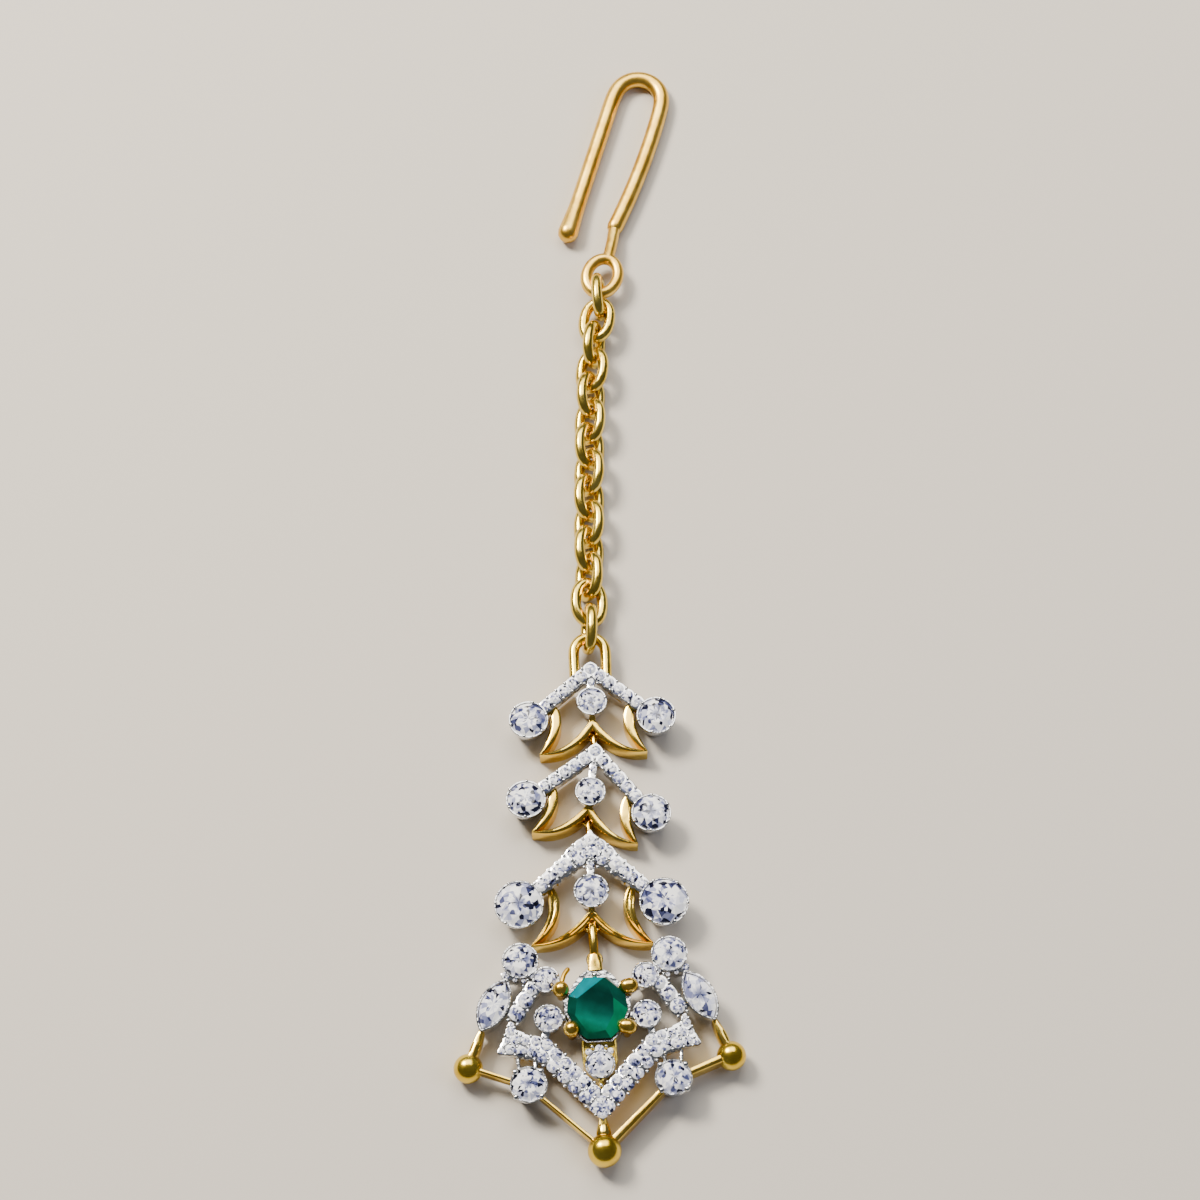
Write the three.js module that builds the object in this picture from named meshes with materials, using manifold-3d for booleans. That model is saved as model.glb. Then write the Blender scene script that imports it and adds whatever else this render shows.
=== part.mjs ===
// A maang tikka lying face up: a hair hook, a cable chain, three pavé tiers and an emerald drop.
// Millimetres, +Z up, +Y from the drop towards the hook. z = 0 is the surface that it lies on.
import * as THREE from "three";
import { ConvexGeometry } from "three/addons/geometries/ConvexGeometry.js";
import { mergeVertices } from "three/addons/utils/BufferGeometryUtils.js";
import Module from "manifold-3d";

const wasm = await Module();
wasm.setup();

// Clearances
const clearance = 0.06; // left between a stone and its setting
const linkSlack = 0.2; // left between two wires that hang in each other
const floorGap = 0.02; // keeps a round wire just clear of the surface
const weld = 0.25; // how far a soldered piece runs into its neighbour

// Heights above the surface, shared by the tiers and the drop
const galleryTop = 2.0; // top edge of the plain gold walls
const plateBottom = 1.75; // underside of the pavé plates
const plateTop = 2.4;
const paveRise = 0.24; // how far a pavé stone stands above its plate
const girdleHeight = 2.5; // girdle of the collet-set stones
const rimTop = 2.68; // top edge of a collet
const colletFoot = 0.3; // lower edge of a collet
const rimWall = 0.2; // metal left round a stone at the top of its collet
const seatDepth = 0.14; // of the straight part of a collet below the girdle

// Plain gold walls of a tier
const sideWallWidth = 0.72;
const arcWallWidth = 0.58;
const wallTipWidth = 0.14; // the walls run out to a near point where they meet
const braceWidth = 0.55; // wall under a pavé arm
const braceFoot = 0.55;
const braceStart = 0.3; // share of the arm where that wall begins, clear of the linking ring

// Pavé
const paveRadius = 0.5;
const pavePitch = 1.1;
const paveTable = 0.6; // table width over stone width
const paveFacets = 7;

// Rings that link one member to the next; each stands on edge through two flat eyes
// eyeDrop is from the point of a tier's cusp down to the hole of its eye.
const tierRing = {
  wire: 0.5, halfHeight: 0.55, eyeHole: 0.44, eyeWall: 0.34, eyeThick: 0.4, eyeDrop: 1.28 };
const dropRing = {
  wire: 0.8, halfHeight: 0.78, eyeHole: 0.62, eyeWall: 0.4, eyeThick: 0.5, eyeDrop: 1.42 };
const apexEyeInset = 0.87; // from the outer point of a pavé apex in to the hole of its eye

// Chain
const chainWire = 1.05;
const linkLength = 5.07;
const linkWidth = 3.7;
const linkLean = 0.2; // how far a link may lie above or below its neighbour's middle
// Roll of each link about the chain, in degrees, its right side raised, from the tiers to the hook
const linkRolls = [78, -20, 52, -48, 45, -45, 45, -46, 42, -50, 35, -65, 15, -80];
const chainHeading = -0.1; // degrees to the right of +Y at the tiers
const chainDrift = 10; // degrees more by the time that it meets the hook
const lastLinkTurn = -13; // of the last link, which lies across the hook's eye
const lastLinkSlack = 0.2; // more slack in front of that link
const bail = { halfWidth: 1.5, rise: 2.1, wire: 1.02 }; // the loop behind the first tier's apex

// Hook
const hook = {
  wire: 1.62,
  tipWire: 2.05, // the free end is rounded and a little thicker
  bendRadius: 2.48,
  legTop: 21.65, // from the eye's middle to the centre of the bend
  freeLeg: 17.45,
  toe: 0.45, // how far the carrying leg leans in at its foot
  freeToe: 0.25, // and the free leg
  bow: 0.35, // of the carrying leg, to the right
  neckFoot: 6.3, // from the eye's middle to where the full wire begins
  offset: -0.05, // of the carrying leg's top, to the right of the eye's middle
  eyeRadius: 1.52, // to the middle of the wire
  eyeReach: 2.0, // the same, lengthwise
  eyeWire: 1.16,
  eyeSlack: 0.3, // between the eye's wire and the last link
  aside: 0.25, // how far the eye's middle lies to the right of that link's end
  heading: 16.4, // degrees to the right of +Y
};

// Facets round things
const loopSides = 12;
const wireSides = 6;
const stoneSides = 16;
const colletSides = 12;
const eyeSides = 10;
const ballSides = 12;

// The tiers, from the chain down. Lengths are from the middle of the pavé apex, its arms' meeting point.
// The waist and the tip are those of the side walls, and the cusp is where the two arcs meet.
const tiers = [
  {
    halfSpan: 5.87, drop: 4.9, band: 1.42, apexBand: 1.42,
    sideStone: 1.83, centreStone: 1.4, centreDrop: 3.27,
    cuspDrop: 4.75, tipHalf: 4.9, tipDrop: 8.15, waistHalf: 3.45, waistDrop: 5.5,
    turn: 2.2, ringTurn: 6.8, ringReach: 2.05,
  },
  {
    halfSpan: 5.72, drop: 5.4, band: 1.42, apexBand: 1.5,
    sideStone: 1.83, centreStone: 1.4, centreDrop: 3.97,
    cuspDrop: 4.95, tipHalf: 4.8, tipDrop: 8.25, waistHalf: 3.45, waistDrop: 6.0,
    turn: -6.5, ringTurn: 6.3, ringReach: 2.25,
  },
  {
    halfSpan: 6.49, drop: 5.65, band: 1.62, apexBand: 2.15,
    sideStone: 2.25, centreStone: 1.6, centreDrop: 4.5,
    cuspDrop: 5.95, tipHalf: 5.4, tipDrop: 9.3, waistHalf: 3.45, waistDrop: 6.7,
    turn: 1.3, ringTurn: 4.2, ringReach: 3.2,
  },
];
const firstTierAt = new THREE.Vector2(-0.92, 0);
const arcSag = 0.38; // share of the tip's half width at which the arcs turn outwards
const cuspHalf = 0.72; // half width of the block where the arcs meet
const neckWidth = 0.62; // strut between the apex and the centre stone
const strutWidth = 0.6; // strut between the centre stone and the cusp

// The drop. Lengths are from the middle of the emerald.
const dropTurn = 2.9;
const emerald = {
  // right half, top to bottom
  outline: [[1.05, 2.47], [2.5, 0.84], [2.69, -0.6], [1.72, -2.6], [1.04, -3.17]],
  girdle: 3.0,
  crown: 0.95,
  depth: 2.1,
  table: 0.6,
};
const emeraldSeat = { wall: 0.34, foot: 0.5, top: 2.72, apex: 3.66, shoulderX: 3.02, shoulderY: 0.62 };
const clawPosts = [{ x: -3.14, y: 1.46 }, { x: -2.36, y: -2.2 }, { x: 2.84, y: 1.5 }, { x: 2.52, y: -2.2 }];
const claw = { ball: 0.66, post: 0.36, height: 3.1 };
const spur = { dx: 0.62, dy: 2.0, wire: 0.36, height: 2.6 }; // loose claw end beside the upper left claw
const dropEyeY = 4.62;
const dropBlock = { width: 1.12, from: 3.2, to: 4.2, top: 2.75 };
const roundStones = [
  { name: "cluster_upper", x: 6.62, y: 4.45, radius: 1.66 },
  { name: "cluster_lower", x: 4.4, y: 2.6, radius: 1.22 },
  { name: "flank", x: 4.33, y: -0.98, radius: 1.31 },
  { name: "claw_set", x: 6.33, y: -6.85, radius: 1.66 },
];
const marquise = { x: 9.1, y: 0.5, length: 5.4, width: 2.75, lean: 28, crown: 0.42, depth: 1.0 };
const marquisePointInset = 1.8; // its points draw in this much more than its sides
const shield = { halfWidth: 1.52, top: -3.0, shoulder: -5.0, tip: -7.1, stoneY: -5.3, stoneRadius: 1.13 };
const sideBall = { x: 11.56, y: -4.82, radius: 1.32 };
const tipBall = { x: 0, y: -12.88, radius: 1.38 };
// Outline of the pavé V and its wings, right half, from the lower point round to the inner notch
const wingOutline = [
  [0, -10.32], [2.83, -7.29], [5.03, -4.97], [7.0, -4.35], [9.15, -3.96], [8.35, -2.5], [7.75, -0.91],
  [7.1, -1.85], [6.2, -2.25], [4.85, -2.72], [2.2, -5.1], [0, -7.73],
];
// Pavé stones of one side of the drop: where each stands, and its radius
const wingPave = [
  { x: 1.0, y: -8.05, radius: 0.55 }, { x: 1.85, y: -7.05, radius: 0.56 },
  { x: 2.7, y: -6.1, radius: 0.57 },
  { x: 3.6, y: -5.2, radius: 0.58 }, { x: 4.55, y: -4.35, radius: 0.6 }, { x: 5.7, y: -3.65, radius: 0.62 },
  { x: 6.95, y: -3.3, radius: 0.6 }, { x: 8.1, y: -3.2, radius: 0.5 }, { x: 7.65, y: -2.1, radius: 0.42 },
  { x: 7.1, y: -0.3, radius: 0.68 }, { x: 6.05, y: 1.3, radius: 0.68 },
  { x: 7.9, y: 3.2, radius: 0.36 }, { x: 5.6, y: 3.15, radius: 0.34 },
];
const zigBar = { from: [7.5, -0.95], to: [5.35, 2.3], width: 1.6 };
const bridge = { from: [5.2, 3.4], to: [8.3, 3.0], width: 0.8 }; // pavé under the upper cluster stone
const rail = { width: 0.5, foot: 0.7, top: 2.1 }; // the plain gold frame from stone to ball
const ballStem = { width: 0.62, foot: 0.7, top: 2.25 };
const collar = { from: [0, -9.9], to: [0, -11.8], width: 0.96, foot: 0.75, top: 2.1 };
// Line of the wall under each wing, which the jewel lies on
const wingBrace = { line: [[0.35, -8.7], [2.5, -6.25], [4.9, -3.9], [7.4, -3.2]], width: 1.0 };
// Short struts of one side of the drop, and one at its middle
const sideStruts = [
  { from: [5.75, -5.6], to: [5.55, -4.6], width: 0.34 }, // claw-set stone to wing
  { from: [7.1, -5.6], to: [7.2, -4.3], width: 0.34 },
  { from: [4.5, -1.9], to: [4.9, -3.2], width: 0.7 }, // flank stone to wing
  { from: [2.9, -0.9], to: [3.6, -1.1], width: 0.6 }, // emerald setting to flank stone
  { from: [2.9, 1.5], to: [3.8, 2.1], width: 0.6 }, // emerald setting to cluster
];
const tipStrut = { from: [0, -6.8], to: [0, -8.3], width: 0.5 };
const strutFoot = 1.0;
const strutTop = 2.3;
const clawSet = { radius: 0.32, tip: 0.22, foot: 1.6, top: 2.86, count: 4 };

const baguette = { width: 0.84, from: -4.05, to: -3.45 };

const gold = new THREE.MeshStandardMaterial({ color: 0xd9a441, roughness: 0.22, metalness: 1 });
const diamond = new THREE.MeshStandardMaterial({ color: 0xe9ecf4, roughness: 0.05, metalness: 0.1 });
const green = new THREE.MeshStandardMaterial({ color: 0x04604a, roughness: 0.08, metalness: 0 });

const radians = THREE.MathUtils.degToRad;

// A closed three.js geometry as a manifold solid
function solid(geometry) {
  const bare = geometry.index ? geometry.toNonIndexed() : geometry.clone();
  for (const name of Object.keys(bare.attributes)) {
    if (name !== "position") bare.deleteAttribute(name);
  }
  const merged = mergeVertices(bare, 1e-4);
  return new wasm.Manifold(new wasm.Mesh({
    numProp: 3,
    vertProperties: merged.attributes.position.array,
    triVerts: new Uint32Array(merged.index.array),
  }));
}

function join(solids) {
  return wasm.Manifold.union(solids);
}

function geometryOf(made) {
  const mesh = made.getMesh();
  const place = new Float32Array(mesh.numVert * 3);
  for (let i = 0; i < mesh.numVert; i++) {
    place.set(mesh.vertProperties.subarray(i * mesh.numProp, i * mesh.numProp + 3), i * 3);
  }
  const geometry = new THREE.BufferGeometry();
  geometry.setAttribute("position", new THREE.BufferAttribute(place, 3));
  geometry.setIndex(new THREE.BufferAttribute(mesh.triVerts, 1));
  geometry.computeVertexNormals();
  return geometry;
}

function meshNamed(name, geometry, material) {
  const mesh = new THREE.Mesh(geometry, material);
  mesh.name = name;
  return mesh;
}

// A flat outline pushed up from foot to top
function slab(outline, foot, top) {
  const shape = new THREE.Shape(outline.map(([x, y]) => new THREE.Vector2(x, y)));
  const geometry = new THREE.ExtrudeGeometry(shape, { depth: top - foot, bevelEnabled: false });
  return solid(geometry.translate(0, 0, foot));
}

// A wall that follows a line of points, its width going evenly from the first to the last
function wall(points, startWidth, endWidth, foot, top) {
  const left = [];
  const right = [];
  points.forEach(([x, y], i) => {
    const before = points[Math.max(i - 1, 0)];
    const after = points[Math.min(i + 1, points.length - 1)];
    const along = new THREE.Vector2(after[0] - before[0], after[1] - before[1]).normalize();
    const half = THREE.MathUtils.lerp(startWidth, endWidth, i / (points.length - 1)) / 2;
    left.push([x - along.y * half, y + along.x * half]);
    right.push([x + along.y * half, y - along.x * half]);
  });
  return slab([...right, ...left.reverse()], foot, top);
}

function bentLine(from, control, to, steps) {
  const curve = new THREE.QuadraticBezierCurve(
    new THREE.Vector2(...from), new THREE.Vector2(...control), new THREE.Vector2(...to));
  return curve.getPoints(steps).map((p) => [p.x, p.y]);
}

function mirrored(points) {
  return points.map(([x, y]) => [-x, y]);
}

function upright(x, y, footRadius, topRadius, foot, top, sides = colletSides) {
  const geometry = new THREE.CylinderGeometry(topRadius, footRadius, top - foot, sides);
  return solid(geometry.rotateX(Math.PI / 2).translate(x, y, (foot + top) / 2));
}

function ball(x, y, z, radius, around = ballSides, down = 8) {
  return solid(new THREE.SphereGeometry(radius, around, down).rotateX(Math.PI / 2).translate(x, y, z));
}

// A straight tapered rod between two points
function rod(from, to, fromRadius, toRadius, sides = 8) {
  const axis = new THREE.Vector3().subVectors(to, from);
  const geometry = new THREE.CylinderGeometry(toRadius, fromRadius, axis.length(), sides);
  geometry.applyQuaternion(
    new THREE.Quaternion().setFromUnitVectors(new THREE.Vector3(0, 1, 0), axis.clone().normalize()));
  const middle = new THREE.Vector3().addVectors(from, to).multiplyScalar(0.5);
  return solid(geometry.translate(middle.x, middle.y, middle.z));
}

// A wire loop lying flat, drawn out along Y: a torus parted at its waist
function wireLoop(halfWidth, halfLength, wireRadius) {
  const geometry = new THREE.TorusGeometry(halfWidth, wireRadius, wireSides, loopSides);
  geometry.rotateZ(Math.PI / loopSides);
  const place = geometry.attributes.position;
  for (let i = 0; i < place.count; i++) {
    place.setY(i, place.getY(i) + Math.sign(place.getY(i)) * (halfLength - halfWidth));
  }
  return geometry;
}

function ringOutline(count, radius) {
  return Array.from({ length: count }, (_, i) => {
    const angle = (2 * Math.PI * i) / count;
    return [radius * Math.cos(angle), radius * Math.sin(angle)];
  });
}

// A cut stone on its girdle outline: a table, star, main and girdle facets above, and a faceted pavilion
function cutStone(outline, crown, depth, table = 0.57) {
  const middles = outline.map(([x, y], i) => {
    const [nextX, nextY] = outline[(i + 1) % outline.length];
    return [(x + nextX) / 2, (y + nextY) / 2];
  });
  const sparse = outline.length >= stoneSides;
  const corners = sparse ? outline.filter((_, i) => i % 2 === 0) : outline;
  const between = sparse ? outline.filter((_, i) => i % 2 === 1) : middles;
  const ring = (points, share, z) => points.map(([x, y]) => new THREE.Vector3(x * share, y * share, z));
  return new ConvexGeometry([
    ...ring(corners, table, crown),
    ...ring(between, (1 + table) / 2 + 0.02, crown * 0.56),
    ...ring(outline, 1, 0),
    new THREE.Vector3(0, 0, -depth),
  ]);
}

function roundStone(radius) {
  return cutStone(ringOutline(stoneSides, radius), radius * 0.36, radius * 0.86);
}

// The stone that fits between the flats of a collet of this outer radius
function heldRadius(colletRadius) {
  return (colletRadius - rimWall) * Math.cos(Math.PI / colletSides) - clearance;
}

// The outer radius of the collet that holds a stone of this radius
function colletRound(stoneRadius) {
  return (stoneRadius + clearance) / Math.cos(Math.PI / colletSides) + rimWall;
}

function latheAt(profile, x, y) {
  const geometry = new THREE.LatheGeometry(profile.map(([r, z]) => new THREE.Vector2(r, z)), colletSides);
  return solid(geometry.rotateX(Math.PI / 2)).translate(x, y, 0);
}

// A round collet, open underneath, that tapers in below the girdle
function collet(x, y, radius) {
  const profile = [
    [radius * 0.44, colletFoot], [radius * 0.68, colletFoot], [radius, girdleHeight - seatDepth],
    [radius, rimTop], [radius - rimWall, rimTop], [radius - rimWall, girdleHeight - seatDepth],
    [radius * 0.44, colletFoot],
  ];
  return latheAt(profile, x, y);
}

// The room inside a collet, out to the middle of its wall, which neighbouring metal must leave free
function colletBore(x, y, radius) {
  const profile = [
    [0, -1], [radius * 0.56, -1], [radius * 0.56, colletFoot],
    [radius - rimWall / 2, girdleHeight - seatDepth], [radius - rimWall / 2, rimTop + 1], [0, rimTop + 1],
  ];
  return latheAt(profile, x, y);
}

function paveStone(x, y, radius) {
  const foot = plateTop - 0.2;
  return upright(x, y, radius, radius * paveTable, foot, plateTop + paveRise, paveFacets);
}

// A flat eye with its hole at (x, y), and a tongue that reaches back to backY
function eyePlate(x, y, ring, backY, height) {
  const outer = ring.eyeHole + ring.eyeWall;
  const foot = height - ring.eyeThick / 2;
  const top = height + ring.eyeThick / 2;
  const half = outer * 0.8;
  const near = Math.min(y, backY);
  const far = Math.max(y, backY);
  const tongue = slab([[x - half, near], [x + half, near], [x + half, far], [x - half, far]], foot, top);
  return upright(x, y, outer, outer, foot, top, eyeSides)
    .add(tongue)
    .subtract(upright(x, y, ring.eyeHole, ring.eyeHole, foot - 1, top + 1, eyeSides));
}

function ringHeight(ring) {
  return ring.halfHeight + ring.wire / 2 + floorGap;
}

// How far above the middle of a pavé apex its outer point lies
function apexRise(tier) {
  return (tier.apexBand / 2) * (Math.hypot(tier.halfSpan, tier.drop) / tier.halfSpan);
}

function cuspEyeY(tier, ring) {
  return -tier.cuspDrop - ring.eyeDrop;
}

function apexEyeY(tier) {
  return apexRise(tier) - apexEyeInset;
}

// One arm of a tier's pavé chevron: its plate, the wall that carries it, and its stones
function chevronArm(tier, side) {
  const length = Math.hypot(tier.halfSpan, tier.drop);
  const along = [(side * tier.halfSpan) / length, -tier.drop / length];
  const across = [-along[1] * side, along[0] * side];
  const end = length - tier.sideStone + weld;
  const at = (distance, offset) => [
    along[0] * distance + across[0] * offset, along[1] * distance + across[1] * offset];
  const rise = apexRise(tier);
  const outline = [[0, rise], at(end, tier.band / 2), at(end, -tier.band / 2), [0, -rise]];
  const plate = slab(side > 0 ? outline.reverse() : outline, plateBottom, plateTop);
  const braceLine = [at(length * braceStart, 0), at(end, 0)];
  const brace = wall(braceLine, braceWidth, braceWidth, braceFoot, plateBottom + 0.1);
  const count = Math.floor((end - weld - pavePitch * 0.5) / pavePitch);
  const pitch = (end - weld - paveRadius * 1.1) / count;
  const stones = Array.from({ length: count }, (_, i) => {
    const spread = 1 + (tier.apexBand / tier.band - 1) * (1 - (i + 1) / count);
    const place = at((i + 1) * pitch, 0);
    return paveStone(place[0], place[1], Math.min(paveRadius * spread, tier.band / 2 - 0.1));
  });
  return [plate, brace, ...stones];
}

// The plain gold bell under the chevron: two waisted side walls and two arcs that meet at a cusp
function bellWalls(tier) {
  const topX = tier.halfSpan - tier.sideStone - sideWallWidth * 0.35;
  const topY = (-tier.drop * topX) / tier.halfSpan;
  const tip = [tier.tipHalf, -tier.tipDrop];
  const cusp = [0, -tier.cuspDrop - arcWallWidth * 0.75];
  const waist = [tier.waistHalf * 2 - (topX + tier.tipHalf) / 2, -tier.waistDrop];
  const side = bentLine([topX, topY], waist, tip, 6);
  const arc = bentLine(cusp, [tier.tipHalf * arcSag, -tier.tipDrop], tip, 6);
  const root = bentLine([topX, topY], [topX, topY - 0.5], [topX - 0.1, topY - 1], 2);
  const cuspFoot = cusp[1] - 0.5;
  const cuspBlock = [[-cuspHalf, cuspFoot], [0, cusp[1] - 0.12], [cuspHalf, cuspFoot], [0, -tier.cuspDrop]];
  const walls = [slab(cuspBlock, 0, galleryTop)];
  for (const turn of [(p) => p, mirrored]) {
    walls.push(wall(turn(side), sideWallWidth, wallTipWidth, 0, galleryTop));
    walls.push(wall(turn(arc), arcWallWidth, wallTipWidth, 0, galleryTop));
    walls.push(wall(turn(root), sideWallWidth, sideWallWidth, 0, plateBottom + 0.1));
  }
  const strutLine = [[0, -tier.cuspDrop - 0.3], [0, -tier.centreDrop - tier.centreStone * 0.7]];
  return [...walls, wall(strutLine, strutWidth, strutWidth, braceFoot, 1.5)];
}

// The three collets of a tier and the neck that carries the middle one
function tierCollets(tier) {
  const places = [
    [-tier.halfSpan, -tier.drop, tier.sideStone],
    [tier.halfSpan, -tier.drop, tier.sideStone],
    [0, -tier.centreDrop, tier.centreStone],
  ];
  const neckFoot = -tier.centreDrop + tier.centreStone - weld;
  const neck = wall([[0, neckFoot], [0, 0]], neckWidth, neckWidth, plateBottom - 0.3, plateTop - 0.05);
  const neckStone = paveStone(0, (neckFoot + weld - apexRise(tier)) / 2, neckWidth * 0.6);
  const apexStone = paveStone(0, 0, Math.min(paveRadius * 1.25, tier.apexBand / 2 - 0.12));
  return {
    metal: [...places.map(([x, y, r]) => collet(x, y, r)), neck, neckStone, apexStone],
    bores: places.map(([x, y, r]) => colletBore(x, y, r)),
    places,
  };
}

// The loop behind the first tier's apex, which the chain's first link passes through
function bailLoop(height) {
  const half = bail.halfWidth;
  const loop = solid(wireLoop(half, bail.rise + half - half * 0.35, bail.wire / 2));
  const keep = slab([[-3, -0.9], [3, -0.9], [3, 9], [-3, 9]], 0, 5);
  return loop.translate(0, half * 0.35, height).intersect(keep);
}

// The eye under a tier's apex, on a post from the plate
function apexEye(tier, ring) {
  const height = ringHeight(ring);
  const holeY = apexEyeY(tier);
  const backY = holeY - ring.eyeHole - ring.eyeWall - 0.45;
  const postLine = [[0, backY], [0, backY + 0.5]];
  const post = wall(postLine, neckWidth, neckWidth, height - ring.eyeThick / 2, plateBottom + 0.1);
  return [eyePlate(0, holeY, ring, backY, height), post];
}

function tierFrame(tier, index, bailHeight) {
  const collets = tierCollets(tier);
  const ring = index === tiers.length - 1 ? dropRing : tierRing;
  const solids = [
    ...chevronArm(tier, -1), ...chevronArm(tier, 1), ...bellWalls(tier),
    ...(index === 0 ? [bailLoop(bailHeight)] : apexEye(tier, tierRing)),
  ];
  const eye = eyePlate(0, cuspEyeY(tier, ring), ring, -tier.cuspDrop - 0.45, ringHeight(ring));
  const metal = join(solids).subtract(join(collets.bores)).subtract(ringRoom(tier, ring));
  return join([metal, eye, ...collets.metal]);
}

// Room behind the cusp for the ring that hangs from its eye
function ringRoom(tier, ring) {
  const half = ring.wire / 2 + 0.2;
  const near = cuspEyeY(tier, ring) + ring.wire / 2 + 0.1;
  const height = 2 * ringHeight(ring) + 0.15;
  return slab([[-half, near - 3], [half, near - 3], [half, near], [-half, near]], -1, height);
}

function tierGroup(tier, index, bailHeight) {
  const group = new THREE.Group();
  const name = `tier_${index + 1}`;
  group.add(meshNamed(`${name}_frame`, geometryOf(tierFrame(tier, index, bailHeight)), gold));
  const [left, right, centre] = tierCollets(tier).places;
  for (const [label, [x, y, r]] of [["left", left], ["right", right], ["centre", centre]]) {
    const stone = meshNamed(`${name}_stone_${label}`, roundStone(heldRadius(r)), diamond);
    stone.position.set(x, y, girdleHeight);
    group.add(stone);
  }
  return group;
}

// A pointed oval between two arcs, with its long axis along Y
function marquiseOutline(length, width, steps = 6) {
  const radius = (length * length) / (4 * width) + width / 4;
  const reach = Math.asin(length / 2 / radius);
  const points = [];
  for (const side of [1, -1]) {
    for (let i = 0; i < steps; i++) {
      const angle = -reach + (2 * reach * i) / steps;
      const bulge = radius * Math.cos(angle) - radius + width / 2;
      points.push([side * bulge, side * radius * Math.sin(angle)]);
    }
  }
  return points;
}

function turned(points, degrees, x, y) {
  const c = Math.cos(radians(degrees));
  const s = Math.sin(radians(degrees));
  return points.map(([u, v]) => [x + u * c - v * s, y + u * s + v * c]);
}

// Points moved outwards from the middle by the same length
function grown(points, length) {
  return points.map(([x, y]) => {
    const share = 1 + length / Math.hypot(x, y);
    return [x * share, y * share];
  });
}

function emeraldOutline(grow = 0) {
  return grown([...emerald.outline.slice().reverse(), ...mirrored(emerald.outline)], grow);
}

function emeraldCut(grow = 0) {
  const { crown, depth, table } = emerald;
  return cutStone(emeraldOutline(grow), crown + grow, depth + grow, table);
}

// The kite-shaped seat of the emerald with its four ball claws, a spare claw end, and the eye it hangs by
function emeraldSetting() {
  const { wall: thick, foot, top, apex, shoulderX, shoulderY } = emeraldSeat;
  const side = [[shoulderX, shoulderY], ...grown(emerald.outline.slice(2), thick + clearance)];
  const outer = [...side.slice().reverse(), [0, apex], ...mirrored(side)];
  const bore = slab(emeraldOutline(clearance), foot - 1, top + 1);
  const [{ x: spurX, y: spurY }] = clawPosts;
  const spurFrom = new THREE.Vector3(spurX, spurY, claw.height);
  const spurTo = new THREE.Vector3(spurX + spur.dx, spurY + spur.dy, spur.height);
  const blockLine = [[0, dropBlock.from], [0, dropBlock.to]];
  return [
    slab(outer, foot, top).subtract(bore),
    ...clawPosts.map(({ x, y }) => upright(x, y, claw.post, claw.post, foot, claw.height, 6)),
    ...clawPosts.map(({ x, y }) => ball(x, y, claw.height, claw.ball, 10, 6)),
    rod(spurFrom, spurTo, spur.wire / 2, spur.wire / 2, 6),
    wall(blockLine, dropBlock.width, dropBlock.width, foot, dropBlock.top),
    eyePlate(0, dropEyeY, dropRing, dropBlock.from + 0.3, ringHeight(dropRing)),
  ];
}

// The shield-shaped setting under the emerald, with its round stone and a baguette above it
function shieldSetting() {
  const { halfWidth, top, shoulder, tip, stoneY, stoneRadius } = shield;
  const cheekFrom = [halfWidth * 0.5, tip + 1.15];
  const cheek = bentLine(cheekFrom, [halfWidth, shoulder - 0.6], [halfWidth, shoulder], 4);
  const right = [[0, tip], ...cheek, [halfWidth, top]];
  const outline = [...right, ...mirrored(right.slice(1)).reverse()];
  const bezel = colletRound(stoneRadius);
  const stoneLine = [[0, baguette.from], [0, baguette.to]];
  return {
    metal: slab(outline, colletFoot, plateTop),
    bore: colletBore(0, stoneY, bezel),
    collet: collet(0, stoneY, bezel),
    baguette: wall(stoneLine, baguette.width, baguette.width, plateTop - 0.1, plateTop + paveRise),
  };
}

// Points of the drop's right side, or the same on its left
function onSide(points, side) {
  return points.map(([x, y]) => [side * x, y]);
}

function bar({ from, to, width }, side, foot, top) {
  return wall(onSide([from, to], side), width, width, foot, top);
}

// One pavé wing with its brace, the bars up to the cluster, and their stones
function wingOf(side) {
  const outline = onSide(wingOutline, side);
  const barFoot = plateBottom - 0.6;
  return [
    slab(side > 0 ? outline : outline.reverse(), plateBottom, plateTop),
    wall(onSide(wingBrace.line, side), wingBrace.width, wingBrace.width, 0, plateBottom + 0.1),
    bar(zigBar, side, barFoot, plateTop),
    bar(bridge, side, barFoot, plateTop),
    ...wingPave.map(({ x, y, radius }) => paveStone(side * x, y, radius)),
  ];
}

// The plain gold rails that run from the marquise to the balls by way of the claw-set stone
function railsOf(side) {
  const stone = roundStones.find(({ name }) => name === "claw_set");
  const [foot] = turned([[0, -marquise.length / 2 + 0.2]], marquise.lean, marquise.x, marquise.y);
  const ballAt = [sideBall.x, sideBall.y];
  const stoneAt = [stone.x, stone.y];
  const upper = { from: ballAt, to: stoneAt, width: rail.width * 1.2 };
  const lower = { from: stoneAt, to: [tipBall.x, tipBall.y], width: rail.width };
  return [
    bar({ from: foot, to: ballAt, width: ballStem.width }, side, ballStem.foot, ballStem.top),
    bar(upper, side, rail.foot, rail.top),
    bar(lower, side, rail.foot, rail.top),
    ball(side * sideBall.x, sideBall.y, sideBall.radius + floorGap, sideBall.radius),
  ];
}

// The marquise's outline, all round smaller by the inset
function marquiseInset(inset) {
  const { length, width } = marquise;
  return marquiseOutline(length - inset * marquisePointInset * 2, width - inset * 2);
}

function marquiseOn(side, inset = 0) {
  return turned(marquiseInset(inset), side * marquise.lean, side * marquise.x, marquise.y);
}

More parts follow.
